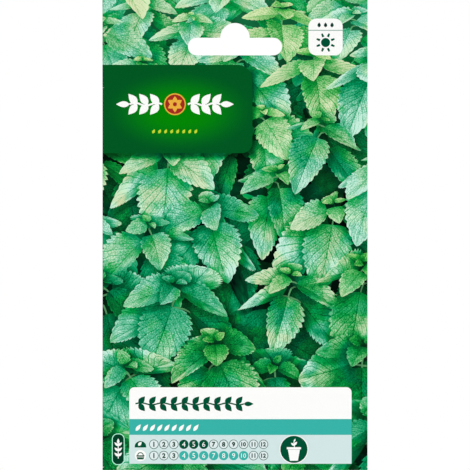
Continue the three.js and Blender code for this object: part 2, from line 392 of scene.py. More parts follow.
def seed_coat():
    """Dry nutlets, brown to near black, with a pitted skin, painted darker in its grooves as shade."""
    paint = Paint("seed_coat", Specular_IOR_Level=0.3)
    place = paint.coordinates()
    batch = paint.noise(place, 700.0, 1.0)
    pits = paint.cells(place, 4200.0).rise(0.0, 0.2)
    # Painted shade: the colour darkens along the low grooves between the cells, over the batch's own brown.
    tone = batch * 0.8 + pits * 0.2
    brown = paint.ramp(tone, (0.3, 38, 26, 18), (0.6, 74, 50, 32), (0.85, 118, 90, 60))
    paint.finish(Base_Color=brown, Roughness=0.75 - pits * 0.15)
    paint.relief(pits, 0.5, 0.00005)
    return paint.material


# ---------- The blank and how it folds ----------


class Blank:
    """The flat die-cut blank, in millimetres: u runs across it and v up it, and the front panel's own u and v
    are its x and z. place() folds a point of it, w in front of or behind the middle of the paper."""

    SLOT_WIDTH, SLOT_HEIGHT, DOME = 32, 6, 5
    TOP_FLAP, TOP_TAPER = 42, 2.5
    BOTTOM_FLAP, BOTTOM_TAPER = 15, 2
    SIDE_FLAP, SIDE_TAPER = 12, 3
    CORNER = 5
    BACK_BELOW_TOP, BACK_ABOVE_BOTTOM, BACK_INSET = 30, 1.3, 1.1
    RELIEF = 0.1  # of the nick where the side folds start
    STEP_FROM, STEP_TO = 7, 1  # where the top flap steps back, above the back panel's top edge
    BELLY = dict(half=41, low=3, high=116, lean=0.55)  # half its width, its ends above the foot, how it hangs
    NEAR = 1e-4  # taken as at an edge

    def __init__(self, sizes):
        self.paper = sizes.paper / MM
        self.bellies = sizes.front_belly / MM, sizes.back_belly / MM
        half = self.paper / 2
        gap = sizes.ply_gap / MM
        header = self.paper + gap
        back = self.paper + sizes.cavity / MM
        flap = back + self.paper + gap
        self.ply = dict(header=header, back=back, side=back - self.paper - gap, flap=flap)
        self.radius = dict(top=header / 2, bottom=flap / 2, left=back / 2, right=self.ply["side"] / 2)
        self.turn = dict(
            top=TOP - half - self.radius["top"],
            bottom=BOTTOM + half + self.radius["bottom"],
            left=-SIDE + half + self.radius["left"],
            right=SIDE - half - self.radius["right"],
        )
        self.arc = {side: math.pi * radius for side, radius in self.radius.items()}
        self.back_top = TOP - self.BACK_BELOW_TOP
        self.back_bottom = BOTTOM + self.BACK_ABOVE_BOTTOM
        self.far_top = self.turn["top"] + self.arc["top"]
        self.far_bottom = self.turn["bottom"] - self.arc["bottom"]
        self.far_left = self.turn["left"] - self.arc["left"]
        self.far_right = self.turn["right"] + self.arc["right"]
        self.top_end = self.far_top + self.turn["top"] - (TOP - self.TOP_FLAP)
        self.bottom_end = self.far_bottom - (BOTTOM + self.BOTTOM_FLAP - self.turn["bottom"])
        self.left_end = self.far_left - (SIDE - self.BACK_INSET - self.turn["left"])
        self.right_end = self.far_right + self.turn["right"] - (SIDE - self.SIDE_FLAP)

    def swell(self, x, z):
        """Share of a panel's greatest swell."""
        across = np.clip(np.abs(x) / self.BELLY["half"], 0, 1)
        low, high = self.BELLY["low"], self.BELLY["high"]
        along = np.clip((z - BOTTOM - low) / (high - low), 0, 1)
        return (1 - across**2) ** 2 * np.sin(math.pi * along ** self.BELLY["lean"]) ** 2

    def place(self, u, v, w):
        """The folded place, in metres, of points on the blank."""
        u, v, w = (np.asarray(values, float) for values in np.broadcast_arrays(u, v, w))
        x, y, z = u.copy(), -w.copy(), v.copy()
        beside = (v > self.back_bottom - self.NEAR) & (v < self.back_top + self.NEAR)
        behind = {}
        for side, past, part, moved, sign in (
            ("top", v - self.turn["top"], True, z, 1),
            ("bottom", self.turn["bottom"] - v, True, z, -1),
            ("left", self.turn["left"] - u, beside, x, -1),
            ("right", u - self.turn["right"], beside, x, 1),
        ):
            radius = self.radius[side]
            folded = part & (past > 0)
            angle = np.clip(past / radius, 0, math.pi)
            rest = np.clip(past - self.arc[side], 0, None)
            reach = (radius + w) * np.sin(angle) - rest
            moved[folded] = (self.turn[side] + sign * reach)[folded]
            y[folded] = (radius - (radius + w) * np.cos(angle))[folded]
            behind[side] = folded & (rest > 0)
        swell = self.swell(x, z)
        round_side = beside & ((u < self.turn["left"]) | (u > self.turn["right"]))
        in_front = (v <= self.turn["top"]) & (v >= self.turn["bottom"]) & ~round_side
        y -= np.where(in_front, self.bellies[0] * swell, 0)
        y += np.where(np.any([*behind.values()], 0), self.bellies[1] * swell, 0)
        start, end = self.back_top + self.STEP_FROM, self.back_top + self.STEP_TO
        step = ease((z - start) / (end - start)) * (self.ply["flap"] - self.ply["header"])
        y += np.where(behind["top"], step, 0)
        return np.stack([x, y, z], -1) * MM

    def flap_edge(self, root, end, taper, steps=6):
        """The outline round a top or bottom flap, from right to left: slanted sides and round corners."""
        points = [(SIDE, root)]
        for step in range(steps + 1):
            angle = math.pi / 2 * step / steps
            inward, short = self.CORNER * (1 - math.cos(angle)), self.CORNER * (1 - math.sin(angle))
            slant = taper * short / abs(end - root)
            points.append((SIDE - taper - inward + slant, end - math.copysign(short, end - root)))
        return points + [(-u, v) for u, v in reversed(points)]

    def outline(self):
        """The blank's cut edge, anticlockwise from the front panel's foot."""
        top, foot = self.back_top, self.back_bottom
        bottom_flap = self.flap_edge(self.far_bottom, self.bottom_end, self.BOTTOM_TAPER)
        top_flap = self.flap_edge(self.far_top, self.top_end, self.TOP_TAPER)
        right = [
            (SIDE, self.turn["bottom"]),
            (self.turn["right"], foot),
            (self.far_right, foot),
            (self.right_end, foot + self.SIDE_TAPER),
            (self.right_end, top - self.SIDE_TAPER),
            (self.far_right, top),
            (self.turn["right"], top),
            (SIDE, top + self.RELIEF),
            (SIDE, self.turn["top"]),
        ]
        left = [
            (-SIDE, self.turn["top"]),
            (-SIDE, top + self.RELIEF),
            (self.turn["left"], top),
            (self.far_left, top),
            (self.left_end, top),
            (self.left_end, foot),
            (self.far_left, foot),
            (self.turn["left"], foot),
            (-SIDE, self.turn["bottom"]),
        ]
        return right + top_flap + left + bottom_flap[::-1]

    def slot(self, behind=False):
        """The hang slot's outline on the front ply, or where it falls on the flap behind."""
        bar, end = self.SLOT_WIDTH / 2 - self.SLOT_HEIGHT / 2, self.SLOT_HEIGHT / 2
        middle = -self.DOME - end
        points = arc_points(bar, middle, end, -90, 90, 14)
        points += arc_points(0, -self.DOME, self.DOME, 0, 180, 28)
        points += arc_points(-bar, middle, end, 90, 270, 14)
        if behind:
            return [(u, self.far_top + self.turn["top"] - v) for u, v in reversed(points)]
        return points

    def fold_lines(self, steps=6):
        """Lines along the folds that let the paper turn in facets, as end points."""
        lines = []
        reach = 2 * SIDE
        for step in range(steps + 1):
            share = step / steps
            for edge, far in ((self.turn["top"], self.far_top), (self.turn["bottom"], self.far_bottom)):
                v = edge + (far - edge) * share
                lines.append([(-reach, v), (reach, v)])
            for edge, far in ((self.turn["left"], self.far_left), (self.turn["right"], self.far_right)):
                u = edge + (far - edge) * share
                lines.append([(u, self.back_bottom), (u, self.back_top)])
        return lines

    def step_lines(self, steps=8):
        """Lines across the top flap where it steps back over the back panel."""
        reach = 2 * SIDE
        start, end = self.back_top + self.STEP_FROM, self.back_top + self.STEP_TO
        depths = [start + (end - start) * k / steps for k in range(steps + 1)]
        rows = [self.far_top + self.turn["top"] - z for z in depths]
        return [[(-reach, v), (reach, v)] for v in rows]


# ---------- Flat shapes ----------


def ease(share):
    """0 up to 0 and 1 from 1 on, smoothly in between."""
    share = np.clip(share, 0, 1)
    return share * share * (3 - 2 * share)


def arc_points(u, v, radius, start, end, steps):
    """Points along an arc round (u, v), between two directions in degrees."""
    angles = [math.radians(start + (end - start) * k / steps) for k in range(steps + 1)]
    return [(u + radius * math.cos(a), v + radius * math.sin(a)) for a in angles]


def disc(u, v, radius, steps=32):
    return arc_points(u, v, radius, 0, 360, steps)[:-1]


def panel(low, high, corners=(0, 0, 0, 0)):
    """A rectangle with corners of these radii, from the lower right one round to the lower left."""
    (u0, v0), (u1, v1) = low, high
    turns = ((u1, v0, -1, 1, -90), (u1, v1, -1, -1, 0), (u0, v1, 1, -1, 90), (u0, v0, 1, 1, 180))
    points = []
    for (u, v, su, sv, start), radius in zip(turns, corners):
        if radius:
            points += arc_points(u + su * radius, v + sv * radius, radius, start, start + 90, 8)
        else:
            points.append((u, v))
    return points


def lens(u, v, length, width, degrees, steps=8):
    """A plain pointed leaf from its foot at (u, v)."""
    angle = math.radians(degrees)
    sides = []
    for sign in (1, -1):
        for k in range(steps):
            share = k / steps if sign > 0 else 1 - k / steps
            half = sign * width / 2 * math.sin(math.pi * share**0.8)
            sides.append((share * length, half))
    turn = math.cos(angle), math.sin(angle)
    return [(u + a * turn[0] + b * turn[1], v + a * turn[1] - b * turn[0]) for a, b in sides]


def stroke(points, width):
    """A thin line as one outline, narrower at its end than at its start if width is a pair."""
    first, last = width if isinstance(width, tuple) else (width, width)
    left, right = [], []
    for k, (u, v) in enumerate(points):
        ahead, behind = points[min(k + 1, len(points) - 1)], points[max(k - 1, 0)]
        du, dv = ahead[0] - behind[0], ahead[1] - behind[1]
        size = math.hypot(du, dv)
        half = (first + (last - first) * k / (len(points) - 1)) / 2
        left.append((u - dv / size * half, v + du / size * half))
        right.append((u + dv / size * half, v - du / size * half))
    return right + left[::-1]


def figures(text, height, u, v, weight=0.015):
    """The triangles of a plain number, centred at a point; weight widens its strokes."""
    curve = bpy.data.curves.new("figure", "FONT")
    curve.body = text
    curve.size = 1
    curve.resolution_u = 3
    curve.offset = weight
    owner = bpy.data.objects.new("figure", curve)
    bpy.context.scene.collection.objects.link(owner)
    mesh = owner.evaluated_get(bpy.context.evaluated_depsgraph_get()).to_mesh()
    points = np.array([vertex.co[:2] for vertex in mesh.vertices])
    mesh.calc_loop_triangles()
    corners = [tuple(triangle.vertices) for triangle in mesh.loop_triangles]
    bpy.data.objects.remove(owner)
    bpy.data.curves.remove(curve)
    middle = (points.max(0) + points.min(0)) / 2
    points = (points - middle) * height / (points[:, 1].max() - points[:, 1].min()) + (u, v)
    triangles = [points[list(triangle)] for triangle in corners]
    return [triangle for triangle in triangles if abs(polygon_area(triangle)) > 1e-4]


# ---------- Foliage ----------


class Leaf:
    """One printed leaf, as the picture of a blade in space. It starts at base; axis is its whole length, curl
    how far its tip is drawn off that, and each of its two halves, left and right, is a vector from the midrib
    to the widest place of its edge, with a tone and a sheen of its own. Warmth is its hue, draw a number of
    its own for its pattern, and cast how much light it takes from what lies under it."""

    USUAL = 20  # size of a leaf of scale 1
    TEETH = 0.52  # for each millimetre of a leaf
    LEAST_TEETH = 4
    TOOTH = ((0.0, -0.5), (0.36, 0.45), (0.78, 1.0))  # shares along a tooth, and how far it stands out there
    TO_FOOT, TO_TIP, WIDEST = 0.46, 0.82, 0.4318  # powers that round foot and tip, and their greatest product

    def __init__(self, base, axis, curl, halves, tones, sheens, *, size, warmth, draw, cast):
        self.base, self.axis, self.curl = (np.array(values, float) for values in (base, axis, curl))
        self.halves = [np.array(half, float) for half in halves]
        self.tones, self.sheens = tones, sheens
        self.size, self.scale = size, size / self.USUAL
        self.warmth, self.draw, self.cast = warmth, draw, cast
        self.reach = float(np.hypot(*self.axis)) + max(float(np.hypot(*half)) for half in self.halves)

    def taper(self, share):
        """Reach of the edge along a leaf, 1 at its widest."""
        share = np.clip(share, 0, 1)
        return share**self.TO_FOOT * (1 - share) ** self.TO_TIP / self.WIDEST

    def at(self, share, side=0, reach=0.0):
        """The point at a share along the leaf, and out to a share of one half's reach."""
        point = self.base + self.axis * share + self.curl * share**2 + self.halves[side] * reach
        return float(point[0]), float(point[1])

    def local(self, points, side):
        """Shares along the leaf and out over one of its halves."""
        half = self.halves[side]
        offset = points - self.base
        square, rise, fall = cross(self.curl, half), cross(self.axis, half), cross(offset, half)
        root = np.sqrt(np.maximum(rise * rise + 4 * square * fall, 0))
        along = 2 * fall / (rise + math.copysign(1, rise) * np.maximum(root, 1e-6))
        left = offset - np.outer(along, self.axis) - np.outer(along**2, self.curl)
        return along, left @ half / (half @ half)

    def outline(self):
        teeth = max(self.LEAST_TEETH, round(self.size * self.TEETH))
        edges = []
        for side in (0, 1):
            edge = []
            for tooth in range(teeth):
                for part, swell in self.TOOTH:
                    share = ((tooth + part) / teeth) ** 1.05
                    if share > 0:
                        reach = float(self.taper(share)) * (1 + 0.075 * swell) + 0.02 * swell
                        edge.append(self.at(share, side, reach))
            edges.append(edge)
        return [self.at(0), *edges[1], self.at(1), *reversed(edges[0])]

    def midrib(self):
        return [self.at(k / 6) for k in range(7)]

    def paint(self, points, middles):
        """Attributes at corners; middles are their triangles' centres, which settle the side they lie on."""
        sides = [self.local(middles, side)[1] for side in (0, 1)]
        chosen = (sides[1] > sides[0]).astype(int)
        place, look = np.zeros((len(points), 3)), np.zeros((len(points), 3))
        for side, sign in ((0, 1), (1, -1)):
            mine = np.flatnonzero(chosen == side)
            along, out = self.local(points[mine], side)
            edge = np.maximum(self.taper(along), 0.05)
            place[mine, 0] = np.clip(along, 0, 1)
            place[mine, 1] = sign * np.clip(out / edge, 0, 1.15)
            look[mine, 0], look[mine, 1] = self.tones[side], self.sheens[side]
        place[:, 2] = self.scale
        look[:, 2] = self.warmth
        return place, look

    def cover(self, points, softness):
        """How closely points lie under the leaf, from 1 under it to 0 at softness away."""
        gaps = []
        for side in (0, 1):
            half = self.halves[side]
            along, out = self.local(points, side)
            inside = np.clip(along, 0.02, 0.98)
            past = np.abs(along - inside) * np.hypot(*self.axis)
            beside = np.maximum(out - self.taper(inside), 0) * np.hypot(*half)
            gaps.append(np.where(out >= -0.02, np.hypot(past, beside), 1e3))
        return 1 - ease(np.minimum(*gaps) / softness)


def cross(first, second):
    """How far the second flat vector lies to the left of the first, times both their lengths."""
    return first[..., 0] * second[..., 1] - first[..., 1] * second[..., 0]


def distance_share(v):
    """0 for the nearest plants, at the foot of the front panel, to 1 for the farthest, at its top."""
    return min(max((v - BOTTOM) / HEIGHT, 0), 1.05)


def depth_scale(v):
    """How large a leaf is drawn there, against one of its real size."""
    return 1.13 - 0.42 * distance_share(v)


def elevation(v):
    """How steeply the viewer of the printed bed looks down on it there."""
    return math.radians(57 - 38 * distance_share(v))


# What a leaf is given before it is placed: its tone from dark to light, sheen, warmth of hue and shadow.
Look = namedtuple("Look", "tone sheen warmth cast")
SUN = Vector((-0.42, -0.38, 0.82)).normalized()
SUN_ON_LEVEL = 0.73  # share of the sunlight that gives a leaf its own tone
HAZE_FROM, HAZE_TONE = 0.55, 0.68  # share of the distance where haze starts, and the tone of leaves in it
LEAST_HALF = 0.3  # of a half that is folded out of sight, as a share of a flat one


def blade(rng, base, heading, droop, size, look):
    """A leaf of a real size, heading round from the viewer and drooping by degrees, as the viewer sees it."""
    steep = elevation(base[1])
    share = distance_share(base[1])
    haze = max(0.0, share - HAZE_FROM) / (1 - HAZE_FROM)
    up = Vector((0, math.sin(steep), math.cos(steep)))
    toward = Vector((0, -math.cos(steep), math.sin(steep)))
    turn, fall = math.radians(heading), math.radians(droop * (1 - 0.55 * haze))
    ahead = Vector((math.sin(turn) * math.cos(fall), -math.cos(turn) * math.cos(fall), -math.sin(fall)))
    beside = Vector((math.cos(turn), math.sin(turn), 0))
    above = ahead.cross(beside)
    roll = math.radians(rng.gauss(0, 14))
    beside = beside * math.cos(roll) + above * math.sin(roll)
    above = ahead.cross(beside)
    fold = math.radians(rng.uniform(8, 30))

    def flat(vector):
        return np.array([vector.x, vector.dot(up)])

    axis = flat(ahead) * size
    width = size * rng.uniform(0.70, 0.84) / 2
    curl = Vector((0, 0, -1)) * size * rng.uniform(0.0, 0.2) + beside * size * rng.uniform(-0.12, 0.12)
    halves, tones, sheens = [], [], []
    for sign in (1, -1):
        out = beside * sign * math.cos(fold) + above * math.sin(fold)
        face = (ahead.cross(out) * sign).normalized()
        half = flat(out) * width
        across = float(cross(axis, half)) / np.hypot(*axis) * sign
        if across < LEAST_HALF * width:
            normal = np.array([-axis[1], axis[0]]) / np.hypot(*axis) * sign
            half = half + normal * (LEAST_HALF * width - across)
        halves.append(half)
        sunlit = 0.38 * (max(face.dot(SUN), 0) - SUN_ON_LEVEL)
        hazy = 0.7 * haze**1.6 * (HAZE_TONE - look.tone)
        tones.append(look.tone + sunlit + 0.24 * (share - 0.5) + hazy)
        glance = 1 - abs(face.dot(toward))
        sheens.append(look.sheen * (0.6 + 0.7 * glance) * (1 - 0.25 * haze))
    if cross(axis, halves[0]) < 0:
        halves, tones, sheens = halves[::-1], tones[::-1], sheens[::-1]
    warmth = look.warmth + 0.45 * (share - 0.62)
    cast = look.cast * (1 - 0.6 * haze)
    return Leaf(
        base, axis, flat(curl), halves, tones, sheens, size=size, warmth=warmth, draw=rng.random(), cast=cast
    )


def jittered(rng, gap, margin=8):
    """Points about gap apart over the front panel and a little past it."""
    columns = int((WIDTH + 2 * margin) / gap) + 1
    rows = int((HEIGHT + 2 * margin) / gap) + 1
    places = []
    for row in range(rows):
        for column in range(columns):
            u = -SIDE - margin + (column + 0.5 * (row % 2)) * gap + rng.uniform(-0.4, 0.4) * gap
            v = BOTTOM - margin + row * gap + rng.uniform(-0.4, 0.4) * gap
            places.append((u, v))
    return places


def spread(rng, gap, throws=4000):
    """Points nowhere closer than gap, and closer together far off, by throwing darts."""
    places = []
    for _ in range(throws):
        u, v = rng.uniform(-SIDE - 6, SIDE + 6), rng.uniform(BOTTOM - 6, TOP + 10)
        if all(math.dist((u, v), other) > gap * depth_scale(v) for other in places):
            places.append((u, v))
    return places


def farthest_first(rng, places, shuffle):
    """Places from the top of the picture down, with their heights shuffled a little."""
    return sorted(places, key=lambda place: -place[1] + rng.uniform(-shuffle, shuffle))


# The two layers under the shoots, the darker first: gap between leaves, and ranges of tone, sheen and warmth.
LAYERS = ((11.5, (0.09, 0.30), (0.0, 0.05), (-0.5, 0.1)), (13, (0.30, 0.58), (0.1, 0.6), (-0.55, 0.25)))


def loose_leaves(rng, size, gap, tone, sheen, warmth):
    """A layer of single leaves that mostly hang toward the viewer, the farthest first."""
    leaves = []
    for u, v in farthest_first(rng, jittered(rng, gap), 8):
        long = size * rng.uniform(0.75, 1.2) * depth_scale(v)
        look = Look(rng.uniform(*tone), rng.uniform(*sheen), rng.uniform(*warmth), cast=0.32)
        heading = rng.gauss(0, 55 + 30 * distance_share(v))
        leaves.append(blade(rng, (u, v + 0.45 * long), heading, rng.uniform(20, 70), long, look))
    return leaves


# For each pair of leaves on a shoot, from its foot: size as a share of the first pair's, droop in degrees,
# length of the stalks, and height above the first pair.
PAIRS = (
    (1.0, 48, 3.6, 0.0),
    (0.92, 34, 3.0, 4.5),
    (0.66, 22, 1.9, 8.0),
    (0.36, 8, 0.9, 10.4),
    (0.17, -20, 0.4, 11.8),
)
STALKED = 3  # pairs whose stalks show
STALK_WIDTH = 0.62


def shoot(rng, centre, length):
    """A shoot: opposite pairs of leaves, each across the last, smaller and younger toward its tip."""
    printed = []
    u, v = centre
    size = length * depth_scale(v) * rng.uniform(0.86, 1.12)
    steep = elevation(v)
    rise = math.cos(steep) * size / length
    spin = rng.uniform(0, 180)
    tone, warmth, sheen = rng.uniform(0.52, 0.70), rng.uniform(-0.75, 0.6), rng.uniform(0.65, 1.15)
    for pair, (share, droop, stalk, height) in enumerate(PAIRS):
        young = 1 - share
        node = np.array([u, v + height * rise])
        for opposite in (180, 0) if math.cos(math.radians(spin + 90 * pair)) > 0 else (0, 180):
            heading = spin + 90 * pair + opposite + rng.uniform(-20, 20)
            turn = math.radians(heading)
            out = stalk * size / length * rng.uniform(0.7, 1.3)
            base = u + out * math.sin(turn), node[1] - out * math.cos(turn) * math.sin(steep) - 0.2 * out
            look = Look(
                tone=tone + rng.uniform(-0.05, 0.05) + 0.03 * young,
                sheen=(sheen + rng.uniform(-0.2, 0.2)) * (1 - 0.7 * young),
                warmth=warmth + rng.uniform(-0.1, 0.1) + 1.05 * young**2,
                cast=0.42 if pair < 2 else 0.31,
            )
            long = size * share * rng.uniform(0.85, 1.12)
            leaf = blade(rng, base, heading, droop + rng.gauss(0, 9), long, look)
            if pair < STALKED:
                printed.append(stalk_outline(node, leaf, STALK_WIDTH * size / length))
            printed.append(leaf)
    return printed


def stalk_outline(node, leaf, width):
    """A leaf's stalk, from the stem to a little way along its midrib."""
    inner = leaf.base + leaf.axis * 0.06
    middle = (node + inner) / 2 + (0, 0.08 * math.dist(node, inner))
    return stroke([tuple(node), tuple(middle), tuple(inner)], (width, width * 0.7))


def foliage(look):
    """All leaves, and the outlines of stalks, from the deepest to the topmost."""
    rng = random.Random(look.draw)
    length = look.leaf_length / MM
    leaves = []
    for layer in LAYERS:
        leaves += loose_leaves(rng, length * 0.9, *layer)
    for centre in farthest_first(rng, spread(rng, look.sprig_gap / MM), 20):
        leaves += shoot(rng, centre, length)
    return leaves


# ---------- The print plan ----------

# Everything laid down in one go: its place in the printing order, and its colour or its leaf.
Region = namedtuple("Region", "order colour leaf")


class PrintPlan:
    """Shapes laid on the blank in printing order, and their merging into one triangulated skin."""

    LONGEST = 4.0  # of a side of a triangle that has to bend
    MERGED = 1e-5  # points closer than this become one
    ENCLOSED = 1.6, 0.3  # softness of a leaf's cover, and the least of it at which a triangle is the leaf's

    def __init__(self, blank):
        self.blank = blank
        self.points, self.edges, self.faces = [], [], []
        self.owner = []  # region of each face
        self.regions = []
        self.label = None  # box and region of the label, which shades what lies round it

    def _outline(self, points, closed):
        """Adds an outline's points, and more along its long sides, so that these bend with the paper."""
        start = len(self.points)
        for here, ahead in zip(points, [*points[1:], points[0]] if closed else points[1:]):
            parts = max(1, math.ceil(math.dist(here, ahead) / self.LONGEST - 0.01))
            self.points += [Vector(here).lerp(Vector(ahead), k / parts) for k in range(parts)]
        if not closed:
            self.points.append(Vector(points[-1]))
        return list(range(start, len(self.points)))

    def lines(self, runs):
        """Lays open lines down, for triangles to end at."""
        for points in runs:
            indices = self._outline(points, False)
            self.edges += list(zip(indices, indices[1:]))

    def grid(self, low, high, gap):
        """Loose points that let an area bend and carry a smooth change of colour."""
        columns = max(1, round((high[0] - low[0]) / gap))
        rows = max(1, round((high[1] - low[1]) / gap))
        for row in range(rows + 1):
            for column in range(columns + 1):
                stagger = 0.5 * (row % 2) / columns if column < columns else 0
                u = low[0] + (high[0] - low[0]) * (column / columns + stagger)
                v = low[1] + (high[1] - low[1]) * row / rows
                self.points.append(Vector((u, v)))

    def region(self, colour=None, leaf=None):
        self.regions.append(Region(len(self.regions), colour, leaf))
        return len(self.regions) - 1

    def shape(self, outline, region):
        """Lays a closed outline down, turned anticlockwise, or the triangulation takes its outside."""
        if polygon_area(np.array(outline)) < 0:
            outline = outline[::-1]
        self.faces.append(self._outline(outline, True))
        self.owner.append(region)

    def lay(self, colour, *outlines):
        """Lays outlines down in one ink; colour is fixed, or worked out from points of the blank."""
        region = self.region(colour=colour)
        for outline in outlines:
            self.shape(outline, region)

    def add_leaf(self, leaf):
        self.shape(leaf.outline(), self.region(leaf=leaf))
        self.lines([leaf.midrib()])

    def triangulate(self):
        """The points and triangles of everything laid down, the old points that each new point stands for,
        and the outlines that each triangle lies in."""
        points, _, faces, origins, _, sources = geometry.delaunay_2d_cdt(
            self.points, self.edges, self.faces, 1, self.MERGED, True
        )
        return np.array([point[:] for point in points]), faces, origins, sources

    def merge(self, holes):
        """Triangulates the blank: points, triangles and the topmost region of each."""
        blank = self.region()
        self.shape(self.blank.outline(), blank)
        hole = self.region()
        for outline in holes:
            self.shape(outline, hole)
        self.lines(self.blank.fold_lines())
        points, faces, _, sources = self.triangulate()
        owners = [{self.owner[s] for s in source} for source in sources]
        kept = [k for k, found in enumerate(owners) if blank in found and hole not in found]
        triangles = np.array([faces[k] for k in kept])
        tops = np.zeros(len(kept), int)
        pairs = np.array([(k, owner) for k, old in enumerate(kept) for owner in owners[old] - {blank}])
        pairs = pairs[np.argsort(pairs[:, 1], kind="stable")]
        middles = points[triangles].mean(1)
        softness, least = self.ENCLOSED
        for region in self.regions:
            start, end = np.searchsorted(pairs[:, 1], (region.order, region.order + 1))
            mine = pairs[start:end, 0]
            if region.leaf:
                mine = mine[region.leaf.cover(middles[mine], softness) > least]
            tops[mine] = region.order
        return points, triangles, tops


class Skin:
    """A merged print: its points, its triangles, and what each corner carries."""

    SHADOW_DROP = 0.5, -1.0  # to where the shadow of a leaf of scale 1 falls
    SHADOW_EDGE = 2.0, 2.4  # least width of a shadow's soft edge, and what a leaf of scale 1 adds to it
    LABEL_SHADOW, LABEL_SHADOW_EDGE = 0.66, 2.4  # light that the label takes beside it, and how far out
    DARKEST = 0.14

    def __init__(self, plan, points, triangles, tops):
        self.plan = plan
        self.points, triangles, _ = without_loose(points, triangles)
        self.triangles = turned_up(self.points, triangles)
        corners = self.points[self.triangles]
        self.at = corners.reshape(-1, 2)
        self.middles = np.repeat(corners.mean(1), 3, 0)
        self.tops = np.repeat(tops, 3)

    def paint(self):
        """The four corner attributes."""
        inks, place, look, light = (np.zeros((len(self.at), 3)) for _ in range(4))
        for region in self.plan.regions:
            mine = np.flatnonzero(self.tops == region.order)
            if not len(mine):
                continue
            if region.leaf:
                place[mine], look[mine] = region.leaf.paint(self.at[mine], self.middles[mine])
                light[mine, 1:] = region.leaf.draw, 1
            elif callable(region.colour):
                inks[mine] = region.colour(self.at[mine])
            else:
                inks[mine] = region.colour
        light[:, 0] = self.shade()
        return {INK: inks, PLACE: place, LOOK: look, LIGHT: light}

    def shade(self):
        """What is left at each corner of the light under the leaves above, which is dimmest close to them."""
        cells = np.stack([self.triangles.ravel(), self.tops], 1)
        _, first, back = np.unique(cells, axis=0, return_index=True, return_inverse=True)
        order = np.argsort(self.at[first, 1])
        at, tops = self.at[first[order]], self.tops[first[order]]
        lit = np.ones(len(order))
        for region in self.plan.regions:
            leaf = region.leaf
            if not leaf:
                continue
            middle = leaf.base + leaf.axis / 2
            reach = leaf.reach * 0.8 + 4
            start, end = np.searchsorted(at[:, 1], (middle[1] - reach, middle[1] + reach))
            near = np.abs(at[start:end, 0] - middle[0]) < reach
            under = start + np.flatnonzero(near & (tops[start:end] < region.order))
            if len(under):
                drop = np.array(self.SHADOW_DROP) * leaf.scale
                softness = self.SHADOW_EDGE[0] + self.SHADOW_EDGE[1] * leaf.scale
                lit[under] *= 1 - leaf.cast * leaf.cover(at[under] - drop, softness)
        low, high, order_of_label = self.plan.label
        under = tops < order_of_label
        past = np.hypot(*np.maximum(np.maximum(low - at, at - high), 0)[under].T)
        lit[under] *= 1 - self.LABEL_SHADOW * (1 - ease(past / self.LABEL_SHADOW_EDGE))
        shade = np.empty(len(order))
        shade[order] = np.clip(lit, self.DARKEST, 1)
        return shade[back.ravel()]

    def rim(self):
        """The cut edge: directed edges that only one triangle has."""
        t = self.triangles
        edges = np.concatenate([t[:, [0, 1]], t[:, [1, 2]], t[:, [2, 0]]])
        key = np.sort(edges, 1)
        _, first, counts = np.unique(key, axis=0, return_index=True, return_counts=True)
        return edges[first[counts == 1]]


def loops(edges):
    """Directed edges chained into closed loops."""
    after = dict(edges.tolist())
    found = []
    while after:
        start, here = after.popitem()
        loop = [start]
        while here != start:
            loop.append(here)
            here = after.pop(here)
        found.append(loop)
    return found


def inner_skin(blank, skin, rim):
    """A coarser triangulation of the same blank that shares the cut edge's points: its points, its triangles,
    and which of its points is the twin of each of the skin's along the edge."""
    plan = PrintPlan(blank)
    chains = loops(rim)
    for chain in chains:
        plan.shape(skin.points[chain], 0)
    plan.lines(blank.fold_lines() + blank.step_lines())
    plan.grid((blank.left_end + 2, blank.back_bottom + 2), (blank.far_left - 2, blank.back_top - 2), 3.5)
    plan.grid((blank.turn["left"] + 2, blank.turn["bottom"] + 2), (blank.turn["right"] - 2, TOP - 2), 3.5)
    plan.grid((-SIDE + 3, blank.far_top + 1), (SIDE - 3, blank.top_end - 1), 3.0)
    plan.grid((-SIDE + 3, blank.bottom_end + 1), (SIDE - 3, blank.far_bottom - 1), 2.0)
    points, faces, origins, sources = plan.triangulate()
    arrived = {origin: index for index, merged in enumerate(origins) for origin in merged}
    twin = {}
    for chain, outline in zip(chains, plan.faces):
        if polygon_area(skin.points[chain]) < 0:
            chain = chain[::-1]
        twin.update((old, arrived[new]) for old, new in zip(chain, outline))
    whole = int(np.argmax([abs(polygon_area(skin.points[chain])) for chain in chains]))
    triangles = np.array([face for face, source in zip(faces, sources) if set(source) == {whole}])
    points, triangles, renumber = without_loose(points, triangles)
    twin = {old: int(renumber[new]) for old, new in twin.items()}
    return points, turned_up(points, triangles), twin


def without_loose(points, triangles):
    """The points that triangles use, the triangles on those, and the new number of each old point."""
    used = np.unique(triangles)
    renumber = np.full(len(points), -1)
    renumber[used] = np.arange(len(used))
    return points[used], renumber[triangles], renumber


def turned_up(points, triangles):
    """The triangles, each with its corners anticlockwise."""
    a, b, c = (points[triangles[:, k]] for k in range(3))
    area = (b[:, 0] - a[:, 0]) * (c[:, 1] - a[:, 1]) - (b[:, 1] - a[:, 1]) * (c[:, 0] - a[:, 0])
    return np.where(area[:, None] < 0, triangles[:, ::-1], triangles)


def polygon_area(points):
    """Negative if the points run clockwise."""
    u, v = points[:, 0], points[:, 1]
    return 0.5 * float(np.dot(u, np.roll(v, -1)) - np.dot(v, np.roll(u, -1)))


# ---------- Ornaments ----------


def garland(low, high, v, count, size, line, plump):
    """A thin wavy stem with leaves in pairs; low may be the larger, so that it runs to the left."""
    steps = 6 * count
    stem = []
    for k in range(steps + 1):
        u = low + (high - low) * k / steps
        stem.append((u, v + 0.1 * size * math.sin(k / 6 * math.pi)))
    shapes = [stroke(stem, line)]
    lean = 0 if high > low else 180
    for k in range(count):
        u = low + (high - low) * (k + 0.3) / count
        shapes += [lens(u, v, size, size * plump, lean + slant) for slant in (50, -50)]
    shapes.append(lens(high, v, size, size * plump * 0.8, lean))
    return shapes


